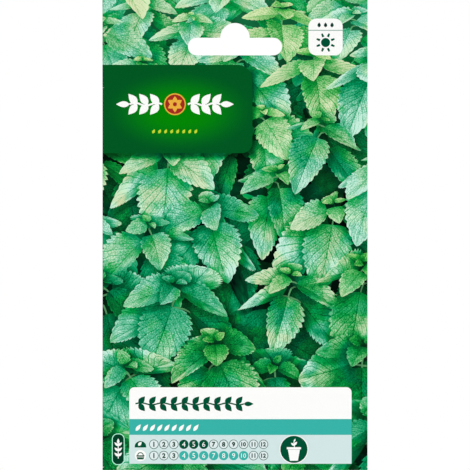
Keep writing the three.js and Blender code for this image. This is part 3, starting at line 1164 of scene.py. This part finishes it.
def sprays(u, v, near, far, count, size, line):
    """Two garlands that run out from a point to either side."""
    return [
        shape
        for way in (1, -1)
        for shape in garland(u + way * near, u + way * far, v, count, size, line, 0.56)
    ]


def seed_row(u, v, count, pitch, *shape):
    """Pointed seeds or drops side by side; shape is their length, width and slant."""
    return [lens(u + pitch * k, v, *shape) for k in range(count)]


def sun(u, v, radius, reach, width, turn):
    """A disc and eight rays, which reach between two distances from its middle."""
    shapes = [disc(u, v, radius)]
    for k in range(8):
        angle = math.radians(45 * k + turn)
        ends = [(u + r * math.cos(angle), v + r * math.sin(angle)) for r in reach]
        shapes.append(stroke(ends, width))
    return shapes


def ringed(plan, u, v, radius, line, ring, face, steps=48):
    """A disc with a ring round it in another ink."""
    plan.lay(ring, disc(u, v, radius + line, steps))
    plan.lay(face, disc(u, v, radius, steps))


def framed(plan, low, high, line, corners, colours):
    """A rounded panel with a line round it: the outer and the inner corners and inks."""
    for inset, corner, colour in zip((0, line), corners, colours):
        box = (low[0] + inset, low[1] + inset), (high[0] - inset, high[1] - inset)
        plan.lay(colour, panel(*box, (corner,) * 4))


def flower(plan, u, v, radius, heart, petal, turn):
    """Six petals round a heart, in a ringed disc; petal is the length and width of one."""
    ringed(plan, u, v, radius, 0.4, GOLD, BRICK, 40)
    plan.lay(GOLD, *[lens(u, v, *petal, turn + 60 * k) for k in range(6)])
    plan.lay(BRICK, disc(u, v, heart, 16))


SOWING, HARVEST = range(3, 6), range(3, 10)  # months, from 0


def calendar(plan, inks, left, feet, pitch, radii, paper, heights, weights):
    """Two rows of twelve numbered circles, filled for the months of sowing and of harvest. Pairs give the
    radii of a circle and of its paper, the heights of numbers with one figure and with two, and what their
    strokes gain in filled circles and in open ones."""
    for v, filled, colour in zip(feet, (SOWING, HARVEST), (inks.dark, inks.band)):
        for month in range(12):
            u, full = left + pitch * month, month in filled
            plan.lay(colour if full else RING_GREY, disc(u, v, radii[0]))
            if not full:
                plan.lay(paper, disc(u, v, radii[1]))
            number = figures(str(month + 1), heights[month > 8], u, v, weights[not full])
            plan.lay(inks.white if full else FIGURE_GREY, *number)


def sowing_mark(plan, inks, u, v):
    """A mound of soil with a seed over it."""
    foot, half = v - 1.35, 1.95
    mound = [(u + half, foot), *arc_points(u, v - 1.0, half, 0, 180, 16), (u - half, foot)]
    plan.lay(inks.dark, [(a, foot + (b - foot) * 0.95) for a, b in mound])
    plan.lay(inks.white, lens(u - 0.75, v - 0.7, 1.7, 1.05, 48))


def basket_mark(plan, inks, u, v):
    """A basket with a hoop handle on a white disc."""
    plan.lay(inks.white, disc(u, v, 1.9))
    hoop = arc_points(u, v + 0.05, 0.95, 0, 180, 10)
    basket = [(u - 1.4, v + 0.1), (u + 1.4, v + 0.1), (u + 1.05, v - 1.3), (u - 1.05, v - 1.3)]
    plan.lay(inks.dark, stroke(hoop, 0.32), basket)
    plan.lay(inks.white, panel((u - 1.2, v - 0.56), (u + 1.2, v - 0.38)))


def pot_mark(plan, inks, u, v, radius):
    """A potted seedling in a dark disc, ringed with white. The pot grows with the disc, the seedling not."""
    ringed(plan, u, v, radius, 0.25, inks.white, inks.dark)
    scale = radius / 4.48
    rim = panel((u - 2.35 * scale, v + 0.05), (u + 2.35 * scale, v + 0.75))
    body = [(-2.0, 0.05), (-1.3, -3.75), (1.3, -3.75), (2.0, 0.05)]
    pot = [(u + a * scale, v + b * scale) for a, b in body]
    stem = [(u + 0.1, v + 0.7), (u + 0.25, v + 1.6), (u - 0.05, v + 2.4), (u + 0.1, v + 2.9)]
    leaves = ((0.1, 1.5, 1.5, 0.8, 48), (0.1, 1.3, 1.4, 0.75, 140), (0.05, 2.6, 1.1, 0.55, 66))
    sprout = [stroke(stem, 0.28), *(lens(u + a, v + b, *shape) for a, b, *shape in leaves)]
    plan.lay(inks.white, rim, pot, *sprout)
    plan.lay(POT_SHADOW, panel((u - 1.95 * scale, v - 0.14), (u + 1.95 * scale, v + 0.05)))


def water_mark(plan, inks, u, v):
    """A drop of water over soil."""
    drop = [*arc_points(u, v - 0.2, 1.25, 200, 340, 12), (u, v + 2.1)]
    plan.lay(inks.band, drop)
    plan.lay(inks.dark, panel((u - 2.2, v - 2.5), (u + 2.2, v - 1.9)))


def sun_mark(plan, inks, u, v):
    plan.lay(GOLD, *sun(u, v, 1.2, (1.7, 2.7), 0.45, 0))


def seedling_mark(plan, inks, u, v):
    """A seedling with three leaves on soil."""
    stem = [(u, v - 2.3), (u - 0.1, v - 0.8), (u + 0.05, v + 0.6)]
    leaves = ((-0.4, 2.5, 1.3, 38), (-0.5, 2.4, 1.25, 144), (0.5, 1.6, 0.9, 92))
    plan.lay(inks.dark, stroke(stem, 0.42), *(lens(u, v + b, *shape) for b, *shape in leaves))
    plan.lay(inks.dark, panel((u - 2.2, v - 2.6), (u + 2.2, v - 2.1)))


# ---------- Graphics on the front ----------


def from_left(distance):
    return distance - SIDE


def from_top(distance):
    return TOP - distance


def blended(first, last, share):
    """Colours between two inks, by the shares of points on the way from one to the other."""
    share = ease(share)[:, None]
    return np.array(first) * (1 - share) + np.array(last) * share


def gap_colour(points):
    """The dark between the plants, hazier far off."""
    start, length = -60, 65
    return blended(GAP_GREEN, FAR_GREEN, (points[:, 1] - start) / length)


def label_colour(points):
    """The label's green, brightest round its middle."""
    across = (points[:, 0] - from_left(26.2)) / 26.6
    down = (points[:, 1] - from_top(38.1)) / 14.3
    return blended(LABEL_EDGE, LABEL_CORE, (1 - np.hypot(across, down)) / 0.77)


def label_graphics(plan):
    """The green label, with a flower between two leafy sprays over a row of seeds."""
    low, high = (from_left(-3), from_top(52.2)), (from_left(50.9), from_top(22.2))
    plan.lay(label_colour, panel(low, high, (3.6, 5.0, 0, 0)))
    # The box that shades what lies round it is a little lower, as in light from above.
    plan.label = np.array(low) + (0, -0.6), np.array(high) + (-0.1, -3.0), len(plan.regions) - 1
    u, v = from_left(24.6), from_top(35.6)
    flower(plan, u, v, 3.3, 0.7, (2.75, 1.7), 90)
    plan.lay(WHITE, *sprays(u, v, 4.4, 15.4, 3, 4.6, 0.6))
    plan.lay(LIME, *seed_row(u - 7.6, from_top(44.9) - 0.6, 8, 2.05, 1.6, 0.95, 62))


def tab_graphics(plan, inks):
    """The white tab, with three drops above the rule and a sun below it."""
    low, high = (from_left(69.95), from_top(19.0)), (from_left(81.56), from_top(6.5))
    middle, rule = (low[0] + high[0]) / 2, from_top(10.5)
    plan.lay(inks.white, panel(low, high, (2.7,) * 4))
    plan.lay(TAB_RULE, panel((low[0], rule - 0.16), (high[0], rule + 0.16)))
    plan.lay(FIGURE_GREY, *seed_row(middle - 2.2, from_top(9.5), 3, 2.2, 1.7, 1.15, 90))
    plan.lay(inks.dark, *sun(middle, from_top(14.65), 1.55, (2.05, 3.3), (0.85, 0.55), 22.5))


def title_panel(plan, inks):
    """The white panel, its band and its calendar strip."""
    left, right = from_left(9.12), from_left(84.58)
    top, band, strip, foot = from_top(131.7), from_top(142.48), from_top(147.86), from_top(157.68)
    plan.lay(inks.white, panel((left, foot), (right, top), (0, 1.7, 1.7, 0)))
    plan.lay(inks.band, panel((left, strip), (right, band)))
    plan.lay(PALE_BLUE, panel((left, foot), (right, strip)))
    title = garland(from_left(11.2), from_left(48.0), from_top(137.3), 10, 3.3, 0.5, 0.6)
    plan.lay(inks.dark, *title)
    plan.lay(inks.white, *seed_row(from_left(11.3), from_top(146.5), 9, 2.45, 2.8, 1.2, 52))
    sowing_mark(plan, inks, from_left(12.9), from_top(150.8))
    basket_mark(plan, inks, from_left(12.9), from_top(154.9))
    feet = from_top(151.05), from_top(154.9)
    calendar(plan, inks, from_left(17.46), feet, 3.383, (1.6, 1.39), RING_PAPER, (1.7, 1.5), (0, 0.045))
    pot_mark(plan, inks, from_left(65.0), from_top(152.78), 4.62)


def side_pill(plan, inks):
    """A small upright pill with an outline, holding a sprig."""
    low, high = (from_left(3.2), from_top(158.1)), (from_left(7.5), from_top(147.4))
    middle = (low[0] + high[0]) / 2
    framed(plan, low, high, 0.27, (1.9, 1.63), (PILL_LINE, PILL_GREEN))
    shapes = [stroke([(middle, low[1] + 2.2), (middle, high[1] - 3.2)], 0.3)]
    for k in range(3):
        v = low[1] + 3.0 + 1.75 * k
        shapes += [lens(middle, v, 1.75, 0.8, slant) for slant in (42, 138)]
    shapes.append(lens(middle, high[1] - 3.5, 1.8, 0.85, 90))
    plan.lay(inks.white, *shapes)


# ---------- Graphics on the back ----------


def steps_row(plan, inks, middle, v):
    """Four ringed marks with arrows between them: sow, water, give sun, plant out."""
    for k, mark in enumerate((sowing_mark, water_mark, sun_mark, seedling_mark)):
        u = middle - 31.5 + 21 * k
        ringed(plan, u, v, 6.1, 0.5, inks.band, inks.white)
        mark(plan, inks, u, v)
        if k < 3:
            tip = u + 12.2
            plan.lay(inks.band, [(tip, v), (tip - 2.4, v + 1.7), (tip - 2.4, v - 1.7)])


def bars(plan, low, high, top, lines, colour, last=0.6):
    """Rows of short bars, as wide as lines of small print; last is how far the last row reaches."""
    rng = random.Random(round(100 * abs(low - top)))
    pitch, half, space = 2.6, 0.45, 0.9
    shapes = []
    for line in range(lines):
        v, u = top - pitch * line, low
        end = low + (high - low) * (last if line == lines - 1 else rng.uniform(0.93, 1.0))
        while u < end - 1.5:
            long = min(rng.uniform(2.0, 7.5), end - u)
            shapes.append(panel((u, v - half), (u + long, v + half)))
            u += long + space
    plan.lay(colour, *shapes)


def ruler(plan, inks, middle, v):
    """A sowing depth and distance rule, numbered in centimetres."""
    low = middle - 30
    plan.lay(PALE_BLUE, panel((low - 3, v - 4.2), (low + 63, v + 3.4), (1.2,) * 4))
    ticks = []
    for k in range(61):
        long = 2.4 if k % 10 == 0 else 1.7 if k % 5 == 0 else 1.1
        ticks.append(panel((low + k - 0.14, v + 2.6 - long), (low + k + 0.14, v + 2.6)))
    plan.lay(inks.dark, *ticks)
    for k in range(7):
        plan.lay(inks.dark, *figures(str(k), 2.0, low + 10 * k, v - 1.9))


def back_graphics(plan, blank, inks):
    """The back panel: pictured steps, a calendar, a rule and a place for small print."""
    left, right = blank.left_end - 1, blank.far_left - 1.4
    plan.lay(BACK_PAPER, panel((left, BOTTOM), (right, TOP)))
    middle = (blank.left_end + blank.far_left) / 2
    steps_row(plan, inks, middle, -47)
    bars(plan, middle - 37, middle + 37, -60, 4, TEXT_GREEN)
    framed(plan, (middle - 38, -89.5), (middle + 38, -72.5), 0.5, (1.5, 1.1), (inks.band, inks.white))
    feet = -77.4, -84.6
    calendar(plan, inks, middle - 27.5, feet, 5.6, (2.5, 2.18), inks.white, (2.5, 2.1), (0.015, 0.015))
    sowing_mark(plan, inks, middle - 34, feet[0])
    basket_mark(plan, inks, middle - 34, feet[1])
    ruler(plan, inks, middle, -98)
    bars(plan, middle - 37, middle - 2, -108, 8, NOTE_GREEN)
    bars(plan, middle + 2, middle + 24, -108, 8, NOTE_GREEN, 0.8)
    pot_mark(plan, inks, middle + 31.5, -117, 5.4)


def flap_graphics(plan, blank, inks):
    """The flaps that show on the back: a green header and a narrow foot in the band's ink."""
    reach = SIDE + 3
    plan.lay(LABEL_EDGE, panel((-reach, blank.far_top + 0.6), (reach, blank.top_end + 1)))
    plan.lay(inks.band, panel((-reach, blank.bottom_end - 1), (reach, blank.far_bottom - 0.5)))
    v = blank.top_end - 8.5
    upright = sprays(0, v, 5.2, 26, 6, 4.2, 0.5)
    plan.lay(inks.white, *[[(-a, 2 * v - b) for a, b in shape] for shape in upright])
    flower(plan, 0, v, 3.2, 0.65, (2.6, 1.6), 0)
    foot = (blank.bottom_end + blank.far_bottom) / 2 - 1.2
    plan.lay(inks.white, *seed_row(-28.3, foot, 10, 6, 3.6, 2.0, 52))


# ---------- Meshes ----------


def mesh_object(name, points, faces, materials, slots=None):
    """A smooth object; slots are the material numbers of its faces."""
    mesh = bpy.data.meshes.new(name)
    mesh.from_pydata(points, [], faces)
    for material in materials:
        mesh.materials.append(material)
    if slots is not None:
        mesh.polygons.foreach_set("material_index", np.asarray(slots, np.int32))
    mesh.polygons.foreach_set("use_smooth", np.ones(len(mesh.polygons), bool))
    made = bpy.data.objects.new(name, mesh)
    bpy.context.scene.collection.objects.link(made)
    return made


def bake_rectangles(blank):
    """Where each part of the blank lies on its bake: its box on the blank and its box on the map, as left,
    bottom, right and top. The front has the left side of the map, and the other parts share the right."""
    gap, split = 0.006, 0.57
    end, left, right = 1 - gap, -SIDE - 0.2, SIDE + 0.2
    back = blank.back_bottom, blank.back_top
    return {
        "front": ((left, blank.far_bottom, right, blank.far_top), (gap, gap, split - gap, end)),
        "back": ((blank.left_end, back[0], blank.turn["left"], back[1]), (split, 0.42, end, end)),
        "top": ((left, blank.far_top, right, blank.top_end), (split, 0.232, end, 0.415)),
        "bottom": ((left, blank.bottom_end, right, blank.far_bottom), (split, 0.165, end, 0.226)),
        "right": (
            (blank.turn["right"], back[0], blank.right_end, back[1]),
            (split, 0.03, split + 0.09, 0.158),
        ),
        "inside": (
            (blank.left_end, blank.bottom_end, blank.right_end, blank.top_end),
            (split + 0.10, 0.03, end, 0.158),
        ),
        "edge": ((0, 0, 1, 1), (split, gap, end, 0.02)),
    }


def envelope_mesh(blank, skin):
    """The folded paper: printed outside, bare inside, and the cut edge between them."""
    half = blank.paper / 2
    rim = skin.rim()
    inner_points, inner_triangles, arrived = inner_skin(blank, skin, rim)
    count = len(skin.points)
    outer = blank.place(skin.points[:, 0], skin.points[:, 1], half)
    inner = blank.place(inner_points[:, 0], inner_points[:, 1], -half)
    twin = {old: new + count for old, new in arrived.items()}
    walls = [(b, a, twin[a], twin[b]) for a, b in rim.tolist()]
    inner_faces = (inner_triangles[:, ::-1] + count).tolist()
    faces = skin.triangles.tolist() + inner_faces + walls
    slots = [0] * len(skin.triangles) + [1] * (len(inner_faces) + len(walls))
    points = np.concatenate([outer, inner]).tolist()
    made = mesh_object("envelope_paper", points, faces, [printed_paper(), bare_paper()], slots)
    mesh = made.data
    for name, values in skin.paint().items():
        kind, field, width = ("FLOAT_COLOR", "color", 4) if name == INK else ("FLOAT_VECTOR", "vector", 3)
        full = np.ones((len(mesh.loops), width), np.float32)
        full[: len(values), :3] = values
        mesh.attributes.new(name, kind, "CORNER").data.foreach_set(field, full.ravel())
    set_bake_map(mesh, blank, skin, inner_points, inner_triangles, len(walls))
    mark_rim(mesh, rim, twin)
    return made


def mark_rim(mesh, rim, twin):
    """Keeps the cut edge crisp under smooth shading."""
    sharp = {frozenset(pair) for pair in rim.tolist()}
    sharp |= {frozenset((twin[a], twin[b])) for a, b in rim.tolist()}
    ends = np.zeros(2 * len(mesh.edges), np.int32)
    mesh.edges.foreach_get("vertices", ends)
    flags = [frozenset(pair) in sharp for pair in ends.reshape(-1, 2).tolist()]
    attribute = mesh.attributes.new("sharp_edge", "BOOLEAN", "EDGE")
    attribute.data.foreach_set("value", flags)


def set_bake_map(mesh, blank, skin, inner_points, inner_triangles, wall_count):
    """The flat blank as the map that its finish is baked on, most of it given to the front."""
    boxes = bake_rectangles(blank)

    def fit(points, part):
        (low, high), (map_low, map_high) = (np.reshape(box, (2, 2)) for box in boxes[part])
        return map_low + (points - low) / (high - low) * (map_high - map_low)

    at, middle = skin.at, skin.middles
    uv = fit(at, "front")
    beside = (middle[:, 1] > blank.back_bottom) & (middle[:, 1] < blank.back_top)
    for part, mine in (
        ("top", middle[:, 1] > blank.far_top),
        ("bottom", middle[:, 1] < blank.far_bottom),
        ("back", beside & (middle[:, 0] < blank.turn["left"])),
        ("right", beside & (middle[:, 0] > blank.turn["right"])),
    ):
        uv[mine] = fit(at[mine], part)
    inside = fit(inner_points[inner_triangles[:, ::-1]].reshape(-1, 2), "inside")
    steps = np.arange(wall_count) / wall_count
    ends = np.stack([steps + 1 / wall_count, steps, steps, steps + 1 / wall_count], 1).ravel()
    heights = np.tile([1, 1, 0, 0], wall_count)
    walls = fit(np.stack([ends, heights], 1), "edge")
    layer = mesh.uv_layers.new(name="OFBake")
    layer.data.foreach_set("uv", np.concatenate([uv, inside, walls]).astype(np.float32).ravel())


# ---------- Operators ----------


Inks = namedtuple("Inks", "band dark white")


class PACKET_OT_envelope(bpy.types.Operator):
    """Draw the print on the blank and fold it into the envelope"""

    bl_idname = "packet.envelope"
    bl_label = "Envelope"

    def execute(self, context):
        scene = context.scene
        blank = Blank(scene.packet_sizes)
        inks = Inks(*(tuple(getattr(scene.print_inks, name)) for name in Inks._fields))
        plan = PrintPlan(blank)
        sheet = panel((blank.left_end - 2, BOTTOM - 40), (blank.right_end + 2, TOP + 60))
        plan.lay(inks.white, sheet)
        ground = panel((-SIDE - 4, blank.far_bottom - 1), (blank.far_right, blank.far_top + 1))
        plan.lay(gap_colour, ground)
        for item in foliage(scene.foliage_look):
            if isinstance(item, Leaf):
                plan.add_leaf(item)
            else:
                plan.lay(STALK, item)
        back_graphics(plan, blank, inks)
        flap_graphics(plan, blank, inks)
        label_graphics(plan)
        tab_graphics(plan, inks)
        title_panel(plan, inks)
        side_pill(plan, inks)
        plan.grid((-SIDE + 1, BOTTOM + 1), (SIDE - 1, TOP - 1), 1.6)
        plan.grid((blank.left_end + 1, blank.back_bottom + 1), (blank.far_left - 1, blank.back_top - 1), 2.5)
        plan.grid((-SIDE + 3, blank.far_top + 1), (SIDE - 3, blank.top_end - 1), 2.0)
        plan.grid((-SIDE + 3, blank.bottom_end + 1), (SIDE - 3, blank.far_bottom - 1), 1.5)
        plan.lines(blank.step_lines())
        skin = Skin(plan, *plan.merge([blank.slot(), blank.slot(behind=True)]))
        paper = envelope_mesh(blank, skin)
        place_piece(paper, "envelope")
        return {"FINISHED"}


def film(name, low, high, bulges, material, gap, ragged=0.0):
    """A thin sheet over a range of x and z, between two depths that each depend on place; gap is the rough
    size of its squares, and ragged how far its edges wander."""
    rng = random.Random(name)
    columns, rows = (max(1, round((high[k] - low[k]) / gap)) for k in (0, 1))
    wander = [[rng.uniform(0, ragged) for _ in range(count + 1)] for count in (rows, rows, columns, columns)]
    x, z = np.meshgrid(np.linspace(low[0], high[0], columns + 1), np.linspace(low[1], high[1], rows + 1))
    x[:, 0] += wander[0]
    x[:, -1] -= wander[1]
    z[0] += wander[2]
    z[-1] -= wander[3]
    x, z = x.ravel(), z.ravel()
    skins = [np.stack([x, bulge(x, z), z], -1) for bulge in bulges]
    wide, count = columns + 1, len(x)
    faces = []
    for row in range(rows):
        for column in range(columns):
            first = row * wide + column
            square = (first, first + 1, first + 1 + wide, first + wide)
            faces += [square, tuple(index + count for index in square[::-1])]
    rim = [*range(columns), *(columns + wide * k for k in range(rows))]
    rim += [wide * rows + columns - k for k in range(columns)] + [wide * (rows - k) for k in range(rows)]
    for here, ahead in zip(rim, rim[1:] + rim[:1]):
        faces.append((here, here + count, ahead + count, ahead))
    made = mesh_object(name, (np.concatenate(skins) * MM).tolist(), faces, [material])
    made.data.set_sharp_from_angle(angle=math.radians(40))
    return made


def place_piece(made, node):
    """Hands a piece in for a node of the frame."""
    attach(made, "root")
    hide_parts(node)


def no_swell(x, z):
    return 0 * x


def glue_films(blank, material):
    """The films that hold the plies: side seam, both flaps and the two sides of the header."""
    thickness, inset = 0.1, 1.2

    def back(x, z):
        return blank.bellies[1] * blank.swell(x, z)

    ply = blank.ply
    seam = SIDE - blank.SIDE_FLAP + inset, SIDE - blank.BACK_INSET - inset
    ends = blank.back_bottom + blank.SIDE_TAPER + inset, blank.back_top - blank.SIDE_TAPER - inset
    reach, strip = 37, 8  # half the length, and the width, of the films under the flaps' ends
    foot, top = BOTTOM + blank.BOTTOM_FLAP - inset, TOP - blank.TOP_FLAP + inset
    outer, high, wide, tall = SIDE - 3 * inset, blank.turn["top"] - inset, 20, 18  # of those in the header
    in_seam, under_flap = (ply["side"] + ply["back"]) / 2, (ply["back"] + ply["flap"]) / 2
    in_header = ply["header"] / 2
    for name, low, far, depth, bulge in (
        ("side_seam_glue", (seam[0], ends[0]), (seam[1], ends[1]), in_seam, back),
        ("bottom_flap_glue", (-reach, foot - strip), (reach, foot), under_flap, back),
        ("top_flap_glue", (-reach, top), (reach, top + strip), under_flap, back),
        ("header_glue_left", (-outer, high - tall), (wide - outer, high), in_header, no_swell),
        ("header_glue_right", (outer - wide, high - tall), (outer, high), in_header, no_swell),
    ):
        bulges = [lambda x, z, face=depth + side * thickness / 2: face + bulge(x, z) for side in (-1, 1)]
        made = film(name + "_film", low, far, bulges, material, 1.5, 0.5)
        place_piece(made, name)


def sachet_films(material):
    """The inner sachet: two films that part into a pouch, with a crimped seal round it."""
    low, high = (-39.5, -151.4), (30.5, -51.4)
    plane, thickness = 0.6, 0.1  # the depth where the films meet, and how thick each is
    middle = (low[0] + high[0]) / 2

    def pouch(x, z):
        """Share of the films' greatest depth, from their seal inward."""
        across = np.clip(np.abs(x - middle) / 30, 0, 1)
        along = np.clip((z - low[1] - 6) / 88, 0, 1)
        return (1 - across**2) ** 2 * np.sin(math.pi * along**0.5) ** 2

    def crimp(x, z):
        """Slanted ridges in the seal, which fade inward and at the very edge."""
        edge = np.minimum.reduce([x - low[0], high[0] - x, z - low[1], high[1] - z])
        seal = (1 - ease((edge - 3) / 1.5)) * ease(edge / 0.6)
        return 0.05 * seal * np.sin((x + z) * math.pi / 1.2)

    def creases(x, z):
        """Shallow folds over the pouch."""
        folds = np.sin(0.55 * x + 0.9 * np.sin(0.13 * z)) * np.sin(0.21 * z + 0.8 * np.sin(0.3 * x))
        return 0.06 * folds * np.clip(pouch(x, z) * 6, 0, 1)

    def face(x, z, lift, depth):
        return plane + crimp(x, z) + lift + depth * pouch(x, z) + creases(x, z)

    for name, lifts, depth in (
        ("sachet_front_film", (-thickness, 0), -1.45),
        ("sachet_back_film", (0, thickness), 1.05),
    ):
        bulges = [lambda x, z, lift=lift: face(x, z, lift, depth) for lift in lifts]
        made = film(name + "_sheet", low, high, bulges, material, 1.0)
        place_piece(made, name)


class PACKET_OT_contents(bpy.types.Operator):
    """Lay the glue films, make the sachet and give the seeds their finish"""

    bl_idname = "packet.contents"
    bl_label = "Contents"

    def execute(self, context):
        glue_films(Blank(context.scene.packet_sizes), dried_glue())
        sachet_films(glassine())
        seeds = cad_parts["seeds"]
        seeds.data.materials.clear()
        seeds.data.materials.append(seed_coat())
        return {"FINISHED"}


class PACKET_OT_stage(bpy.types.Operator):
    """Set the pale floor, the soft light and the camera"""

    bl_idname = "packet.stage"
    bl_label = "Stage"

    def execute(self, context):
        look = context.scene.stage_look
        set_floor(BOTTOM * MM - look.floor_drop)
        set_world()
        set_lamps()
        set_camera(look.distance)
        return {"FINISHED"}


def set_floor(height):
    """A pale square under the packet."""
    points = [(x, y, height) for x, y in ((-0.6, -0.6), (0.6, -0.6), (0.6, 0.6), (-0.6, 0.6))]
    paint = Paint("floor", Roughness=0.8, Specular_IOR_Level=0.05)
    grain = paint.noise(paint.coordinates(), 400.0)
    paint.finish(Base_Color=paint.ramp(grain, (0.3, 240, 240, 240), (0.7, 244, 244, 244)))
    floor = mesh_object("floor", points, [(0, 1, 2, 3)], [paint.material])


def set_world():
    """White where the camera sees past the packet, a dimmer sky as light, and darker still in reflections."""
    ambient, reflected, seen = 0.29, 0.06, 1.0
    world = bpy.data.worlds.new("studio")
    world.use_nodes = True
    tree = world.node_tree
    tree.nodes.clear()
    path = tree.nodes.new("ShaderNodeLightPath")
    shown = None
    for strength, ray in ((ambient, None), (reflected, "Is Glossy Ray"), (seen, "Is Camera Ray")):
        sky = tree.nodes.new("ShaderNodeBackground")
        sky.inputs["Color"].default_value = (1, 1, 1, 1)
        sky.inputs["Strength"].default_value = strength
        if not ray:
            shown = sky.outputs[0]
            continue
        blend = tree.nodes.new("ShaderNodeMixShader")
        tree.links.new(path.outputs[ray], blend.inputs[0])
        tree.links.new(shown, blend.inputs[1])
        tree.links.new(sky.outputs[0], blend.inputs[2])
        shown = blend.outputs[0]
    output = tree.nodes.new("ShaderNodeOutputWorld")
    tree.links.new(shown, output.inputs[0])
    bpy.context.scene.world = world


def set_lamps():
    """Large soft lamps either side, a pair in front and a pair behind."""
    size, power = 0.7, 7.4
    middle = Vector((0, 0, MIDDLE * MM))
    for name, place in (
        ("key_left", (-0.9, -0.9, 0.35)),
        ("key_right", (0.9, -0.9, 0.35)),
        ("back_left", (-0.8, 0.9, 0.4)),
        ("back_right", (0.8, 0.9, 0.4)),
    ):
        lamp = bpy.data.lights.new(name, "AREA")
        lamp.size = size
        lamp.energy = power
        holder = bpy.data.objects.new(name, lamp)
        holder.location = place
        holder.rotation_euler = (middle - Vector(place)).to_track_quat("-Z", "Y").to_euler()
        bpy.context.scene.collection.objects.link(holder)


def set_camera(distance, cropped=0.4):
    """Level and square to the front, with the packet's height, but for a cropped sliver, filling the view."""
    scene = bpy.context.scene
    scene.view_settings.view_transform = "Standard"
    camera = bpy.data.cameras.new("camera")
    holder = bpy.data.objects.new("camera", camera)
    camera.sensor_fit = "AUTO"
    camera.angle = 2 * math.atan((HEIGHT - cropped) / 2 * MM / distance)
    camera.clip_end = 20
    holder.location = (0, -distance, MIDDLE * MM)
    holder.rotation_euler = (math.pi / 2, 0, 0)
    scene.collection.objects.link(holder)
    scene.camera = holder


class PACKET_PT_tools(bpy.types.Panel):
    """Builds the packet piece by piece"""

    bl_idname = "PACKET_PT_tools"
    bl_label = "Seed packet"
    bl_space_type = "VIEW_3D"
    bl_region_type = "UI"
    bl_category = "Packet"

    def draw(self, context):
        for operator in OPERATORS:
            self.layout.operator(operator.bl_idname)
        for group in GROUPS:
            for name in GROUPS[group].__annotations__:
                self.layout.prop(getattr(context.scene, group), name)


GROUPS = {
    "packet_sizes": PacketSizes,
    "print_inks": PrintInks,
    "foliage_look": FoliageLook,
    "stage_look": StageLook,
}
OPERATORS = (PACKET_OT_envelope, PACKET_OT_contents, PACKET_OT_stage)


def register():
    for made in (*GROUPS.values(), *OPERATORS, PACKET_PT_tools):
        bpy.utils.register_class(made)
    for name, group in GROUPS.items():
        setattr(bpy.types.Scene, name, bpy.props.PointerProperty(type=group))


def unregister():
    for name in GROUPS:
        delattr(bpy.types.Scene, name)
    for made in reversed((*GROUPS.values(), *OPERATORS, PACKET_PT_tools)):
        bpy.utils.unregister_class(made)


def main():
    register()
    bpy.ops.packet.envelope()
    bpy.ops.packet.contents()
    bpy.ops.packet.stage()


if __name__ == "__main__":
    main()
